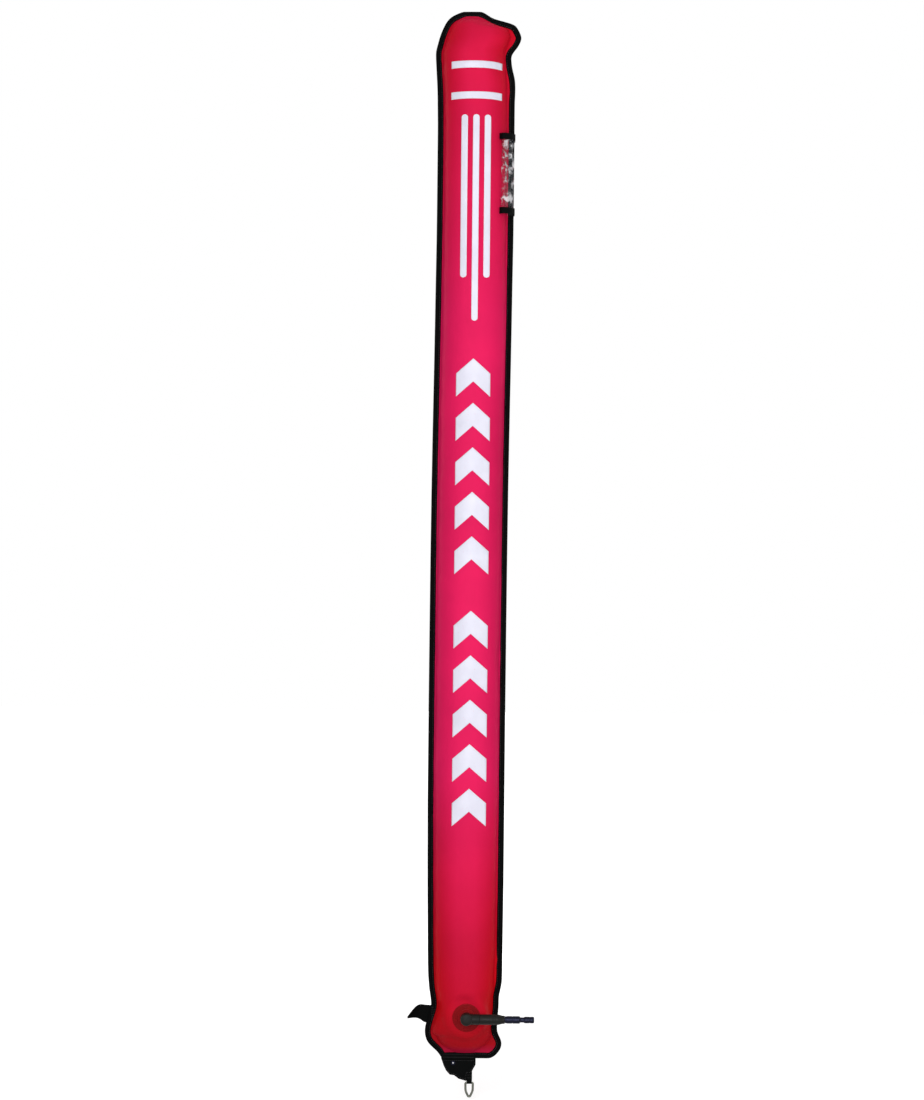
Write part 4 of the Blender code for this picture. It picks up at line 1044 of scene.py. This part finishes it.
def polyurethane_coated_nylon(add):
    # 420 denier nylon under a thin polyurethane film: a fine plain weave, crinkles, and a soft broad highlight
    # that is painted into its colour
    uv = add("UVMap", uv_map="cloth")
    place = add("TexCoord", out="Object")
    # Threads 0.6 mm apart are too fine to show, so they are drawn 1.2 mm apart
    threads = woven_height(add, uv, 0.0012, 0.0012)
    # Crinkles 17 mm across, and patches of dye 140 mm across
    film = add("TexNoise", place, Scale=60.0, Detail=4.0)
    patches = add("TexNoise", place, Scale=7.0, Detail=3.0)
    # Painted highlight and shade: the colour is pink along the middle of each panel, and deep red by the seams
    # and towards the ends, where less light falls
    off_middle = add("Math", add("SeparateXYZ", uv, out="X"), operation="ABSOLUTE")
    centre = add("MapRange", off_middle, From_Min=0.058, From_Max=0.015)
    height = add("SeparateXYZ", place, out="Z")
    from_foot = add("MapRange", height, From_Min=0.03, From_Max=0.50)
    from_top = add("MapRange", height, From_Min=LENGTH, From_Max=1.30, To_Min=0.35)
    up = add("Math", from_foot, from_top, operation="MULTIPLY")
    edge_up = add("Math", up, 2.0, operation="POWER")
    # Painted shade: the colour by the seams, deep red towards the ends
    painted_seam_shade = add("Mix", edge_up, A=srgb("C0080E"), B=srgb("D21A54"), data_type="RGBA")
    # Painted highlight: the colour along the middle, pinkest halfway up
    painted_middle_highlight = add("Mix", up, A=srgb("C41224"), B=srgb(hex_of(settings().nylon_highlight_colour)), data_type="RGBA")
    painted_highlight_and_shade = add("Mix", centre, A=painted_seam_shade, B=painted_middle_highlight, data_type="RGBA")
    # Painted shade darkens the foot, where the bulge turns downward, and a painted highlight makes the welded
    # strip under it lighter and pinker
    painted_foot_shade = add("MapRange", height, From_Min=0.090, From_Max=0.040)
    painted_foot_shaded = add("Mix", painted_foot_shade, A=painted_highlight_and_shade, B=srgb("AC121E"), data_type="RGBA")
    # Painted highlight on the welded strip at the very bottom
    hem = add("MapRange", height, From_Min=0.024, From_Max=0.012)
    red_with_painted_light = add("Mix", hem, A=painted_foot_shaded, B=srgb("B2163A"), data_type="RGBA")
    tone = add("MapRange", patches, From_Min=0.3, From_Max=0.7, To_Min=0.90, To_Max=1.08)
    colour = add("Mix", 1.0, A=red_with_painted_light, B=tone, data_type="RGBA", blend_type="MULTIPLY")
    gloss = add("MapRange", film, To_Min=0.42, To_Max=0.58)
    return shaded(add, colour, gloss, (film, 0.30, 0.0008), (threads, 0.15, 0.00012),
                  IOR=1.5, Specular_IOR_Level=0.02)


def screen_ink(add):
    # White vinyl screen ink on coated nylon: satin, thin enough to follow the weave, with fine rubbed specks
    place = add("TexCoord", out="Object")
    # Specks 2.4 mm across, on clouds of 33 mm
    rubbed = add("TexNoise", place, Scale=420.0, Detail=4.0)
    cloud = add("TexNoise", place, Scale=30.0, Detail=3.0)
    wear = add("MapRange", rubbed, From_Min=0.66, From_Max=0.80)
    ink = add("Mix", cloud, A=srgb(hex_of(settings().ink_colour)), B=srgb("D2D2E2"), data_type="RGBA")
    worn = add("Mix", wear, A=ink, B=srgb("E2AABB"), data_type="RGBA")
    gloss = add("MapRange", cloud, To_Min=0.38, To_Max=0.52)
    return shaded(add, worn, gloss, (cloud, 0.2, 0.0006), (rubbed, 0.25, 0.0001), IOR=1.5)


def black_weave(add, across, along, dark, light, gloss):
    """Woven black nylon: its ribs stand up and catch a little more light than the grooves."""
    place = add("TexCoord", out="Object")
    threads = woven_height(add, add("UVMap", uv_map="weave"), across, along)
    # Lint 1.1 mm across, and dust in patches of 29 mm
    fuzz = add("TexNoise", place, Scale=900.0, Detail=3.0)
    dust = add("TexNoise", place, Scale=35.0, Detail=3.0)
    # Painted highlight on the ribs, which are drawn lighter than the grooves, with real dust in patches on top
    rib_highlight_and_dust = add("Math", threads, dust, operation="MULTIPLY")
    colour = add("Mix", rib_highlight_and_dust, A=srgb(dark), B=srgb(light), data_type="RGBA")
    rough = add("MapRange", fuzz, To_Min=gloss, To_Max=gloss + 0.2)
    return shaded(add, colour, rough, (fuzz, 0.3, 0.00008), (threads, 0.7, 0.00025),
                  IOR=1.53, Specular_IOR_Level=0.04)


def grosgrain_tape(add):
    # Woven nylon binding tape: ribs 1.3 mm apart run across it, and it is matt black with a little lint
    return black_weave(add, 0.0042, 0.0013, "020202", "101012", 0.62)


def nylon_webbing(add):
    # Plain woven nylon webbing: ribs 1.6 mm apart along it and 1.1 mm across, matt black
    return black_weave(add, 0.0016, 0.0011, "020303", "131515", 0.58)


def polyester_thread(add):
    # Bonded polyester sewing thread: smoother and a little brighter than the tape it holds
    place = add("TexCoord", out="Object")
    # The thread's twist, 0.6 mm a turn
    twist = add("TexWave", place, Scale=thread_scale(0.0006), bands_direction="DIAGONAL", out="Fac")
    colour = add("Mix", twist, A=srgb("151516"), B=srgb("2E2E31"), data_type="RGBA")
    rough = add("MapRange", twist, To_Min=0.40, To_Max=0.55)
    return shaded(add, colour, rough, (twist, 0.4, 0.0001), IOR=1.55)


def hard_plastic(add, dark, light, gloss, grain_depth, **values):
    """A moulded plastic: fine moulded grain, cloudy gloss and scuffs of a lighter tone."""
    place = add("TexCoord", out="Object")
    # Moulded grain 0.5 mm across, gloss in clouds of 14 mm, and scuffs of 4 mm
    grain = add("TexNoise", place, Scale=2000.0, Detail=3.0)
    cloud = add("TexNoise", place, Scale=70.0, Detail=3.0)
    scuffs = add("TexNoise", place, Scale=260.0, Detail=5.0)
    rubbed = add("MapRange", scuffs, From_Min=0.56, From_Max=0.78)
    colour = add("Mix", rubbed, A=srgb(dark), B=srgb(light), data_type="RGBA")
    rough = add("MapRange", cloud, From_Min=0.3, From_Max=0.7, To_Min=gloss, To_Max=gloss + 0.16)
    return shaded(add, colour, rough, (cloud, 0.15, 0.0004), (grain, 0.25, grain_depth), **values)


def moulded_acetal(add):
    # Injection-moulded black acetal: semi-matt, with handling scuffs slightly greyer than the rest
    return hard_plastic(add, "0C0D09", "1E1F19", 0.36, 0.00005, IOR=1.48, Specular_IOR_Level=0.18)


def moulded_polyurethane(add):
    # Moulded soft polyurethane, welded on: darker and browner than the cloth, with a smooth low gloss
    return hard_plastic(add, "820E14", "981418", 0.34, 0.00003, IOR=1.5, Specular_IOR_Level=0.05)


def nitrile_rubber(add):
    # Moulded nitrile rubber: matt black, with a slight bloom
    return hard_plastic(add, "0B0B0B", "232322", 0.58, 0.00004, IOR=1.52)


def black_nickel_brass(add):
    # Turned brass with dark nickel plating: a blue-black mirror, dulled by fine rings from the lathe
    place = add("TexCoord", out="Object")
    # Tool marks 0.4 mm apart along the stem, and tarnish in clouds of 6 mm
    rings = add("TexWave", place, Scale=thread_scale(0.0004), Distortion=0.6, Detail=2.0,
                bands_direction="X", out="Fac")
    cloud = add("TexNoise", place, Scale=160.0, Detail=4.0)
    colour = add("Mix", cloud, A=srgb("14151E"), B=srgb("262838"), data_type="RGBA")
    rough = add("MapRange", cloud, From_Min=0.3, From_Max=0.7, To_Min=0.20, To_Max=0.36)
    return shaded(add, colour, rough, (cloud, 0.1, 0.0001), (rings, 0.2, 0.00003), Metallic=1.0)


def stainless_wire(add):
    # Drawn stainless wire: bright, with fine die lines and small handling scratches
    place = add("TexCoord", out="Object")
    # Die lines 0.4 mm apart and 3 mm long, and handling marks of 5 mm
    drawn = add("Mapping", place, Scale=(3.0, 3.0, 0.4))
    lines = add("TexNoise", drawn, Scale=900.0, Detail=3.0)
    cloud = add("TexNoise", place, Scale=220.0, Detail=4.0)
    colour = add("Mix", cloud, A=srgb("4A4C47"), B=srgb("77796F"), data_type="RGBA")
    rough = add("MapRange", lines, From_Min=0.3, From_Max=0.7, To_Min=0.20, To_Max=0.38)
    return shaded(add, colour, rough, (cloud, 0.12, 0.0002), (lines, 0.25, 0.00003), Metallic=1.0)


def calendered_vinyl(add):
    # Calendered clear vinyl sheet: see-through with a smoky tint, and painted white glints where it is
    # crumpled
    place = add("TexCoord", out="Object")
    # Haze in specks of 3 mm, and crumples 13 mm across
    haze = add("TexNoise", place, Scale=300.0, Detail=4.0)
    crumple = add("TexNoise", place, Scale=75.0, Detail=3.0)
    # Painted glints: white patches on the crumples
    painted_glint_patches = add("MapRange", crumple, From_Min=0.52, From_Max=0.66)
    # Seen edge on, the sheet hides more, and a painted reflection whitens it there
    turned_away = add("LayerWeight", 0.35, out="Facing")
    rim = add("MapRange", turned_away, From_Min=0.60, To_Max=0.35)
    # Painted glints and painted edge-on reflection, which also make the sheet less clear
    painted_glints_and_reflection = add("Math", painted_glint_patches, rim, operation="MAXIMUM")
    colour = add("Mix", painted_glints_and_reflection, A=srgb("54585E"), B=srgb("F0F1F4"), data_type="RGBA")
    cover = add("MapRange", painted_glints_and_reflection, To_Min=0.06, To_Max=0.52)
    rough = add("MapRange", haze, From_Min=0.35, From_Max=0.75, To_Min=0.06, To_Max=0.30)
    return shaded(add, colour, rough, (crumple, 0.6, 0.0010), Alpha=cover, IOR=1.53)


# ---- stage ----

WHITE = (1, 1, 1, 1)


def ray_share(add, *names):
    """1 for the rays of these names, 0 for the others."""
    rays = [add("LightPath", out=f"Is {name} Ray") for name in names]
    return reduce(lambda one, other: add("Math", one, other, operation="MAXIMUM"), rays)


def matt_white_board(add):
    # Matt white painted board
    return {"Base Color": srgb("DCDCDC"), "Roughness": 0.9, "Specular IOR Level": 0.0}


def show_white(tree):
    """Shows a board as white paper to the camera and in reflections, less so near the buoy and its shadow."""
    add = partial(add_node, tree)
    away = add("VectorMath", add("TexCoord", out="Object"), operation="LENGTH")
    spread = add("MapRange", away, From_Min=0.4, From_Max=1.8, To_Min=0.52, interpolation_type="SMOOTHSTEP")
    level = add("Math", ray_share(add, "Camera", "Glossy"), spread, operation="MULTIPLY")
    glow = add("Emission", WHITE, level)
    both = add("AddShader", tree.nodes["Principled BSDF"].outputs["BSDF"], glow)
    plug(tree, tree.nodes["Material Output"], {"Surface": both})


class BUOY_OT_stage(Operator):
    """Set the plain floor, the soft lights, the white surroundings and the camera"""

    bl_idname = "buoy.stage"
    bl_label = "Stage"

    def execute(self, context):
        scene = context.scene
        scene.view_settings.view_transform = "Standard"

        below = 0.004
        work = bmesh.new()
        bmesh.ops.create_grid(work, x_segments=1, y_segments=1, size=12.0,
                              matrix=Matrix.Translation((0, 0, CAD_BOX[0][2] - below)))
        floor = put("floor", mesh_of(work, "floor"))
        floor.data.materials.append(finish(matt_white_board))
        show_white(floor.data.materials[0].node_tree)

        scene.world = bpy.data.worlds.new("studio")
        scene.world.use_nodes = True
        tree = scene.world.node_tree
        add = partial(add_node, tree)
        level = add("MapRange", ray_share(add, "Camera", "Glossy", "Transmission"), To_Min=0.55)
        plug(tree, tree.nodes["Background"], {"Color": WHITE, "Strength": level})

        middle = Vector((0, 0, 0.95))
        for name, place, size, power, colour in (
                ("key", (-0.9, -3.4, 2.3), (1.6, 2.4), 32.0, (1.0, 0.98, 0.98)),
                ("front", (0.1, -4.2, 0.70), (0.8, 1.6), 44.0, (0.97, 0.96, 1.0)),
                ("fill", (2.4, -2.0, 1.2), (1.5, 2.2), 18.0, (1.0, 0.98, 0.96)),
                ("back", (-1.8, 2.6, 1.8), (1.6, 2.4), 24.0, (1.0, 1.0, 1.0))):
            lamp = assign(bpy.data.lights.new(name, "AREA"), shape="RECTANGLE", size=size[0], size_y=size[1],
                          energy=power, color=colour)
            turn = (middle - Vector(place)).to_track_quat("-Z", "Y").to_euler()
            put(name, lamp, location=place, rotation_euler=turn)

        distance, sensor, view_height = settings().camera_distance, 36.0, 1.925
        camera = assign(bpy.data.cameras.new("camera"), sensor_fit="VERTICAL", sensor_height=sensor,
                        lens=sensor * distance / view_height, clip_end=60.0)
        scene.camera = put("camera", camera, location=(-0.0114, -distance, 0.888),
                           rotation_euler=(math.pi / 2, -settings().camera_roll, 0))
        return {"FINISHED"}


# ---- add-on ----


class BUOY_PT_sidebar(Panel):
    """Lists the buoy's operators and settings"""

    bl_label = "Surface marker buoy"
    bl_idname = "BUOY_PT_sidebar"
    bl_space_type = "VIEW_3D"
    bl_region_type = "UI"
    bl_category = "Buoy"

    def draw(self, context):
        for name in BuoySettings.__annotations__:
            self.layout.prop(context.scene.buoy, name)
        for operator in OPERATORS:
            self.layout.operator(operator.bl_idname)


OPERATORS = (BUOY_OT_stage, BUOY_OT_panels, BUOY_OT_marks, BUOY_OT_edge_tape, BUOY_OT_base, BUOY_OT_strap,
             BUOY_OT_sleeve, BUOY_OT_inflator, BUOY_OT_dump_valve, BUOY_OT_springs, BUOY_OT_inner_parts)
CLASSES = (BuoySettings, *OPERATORS, BUOY_PT_sidebar)


def register():
    for item in CLASSES:
        bpy.utils.register_class(item)
    bpy.types.Scene.buoy = PointerProperty(type=BuoySettings)


def unregister():
    del bpy.types.Scene.buoy
    for item in reversed(CLASSES):
        bpy.utils.unregister_class(item)


def main():
    register()
    bpy.ops.buoy.stage()
    bpy.ops.buoy.panels()
    bpy.ops.buoy.marks()
    bpy.ops.buoy.edge_tape()
    bpy.ops.buoy.base()
    bpy.ops.buoy.strap()
    bpy.ops.buoy.sleeve()
    bpy.ops.buoy.inflator()
    bpy.ops.buoy.dump_valve()
    bpy.ops.buoy.springs()
    bpy.ops.buoy.inner_parts()


if __name__ == "__main__":
    main()
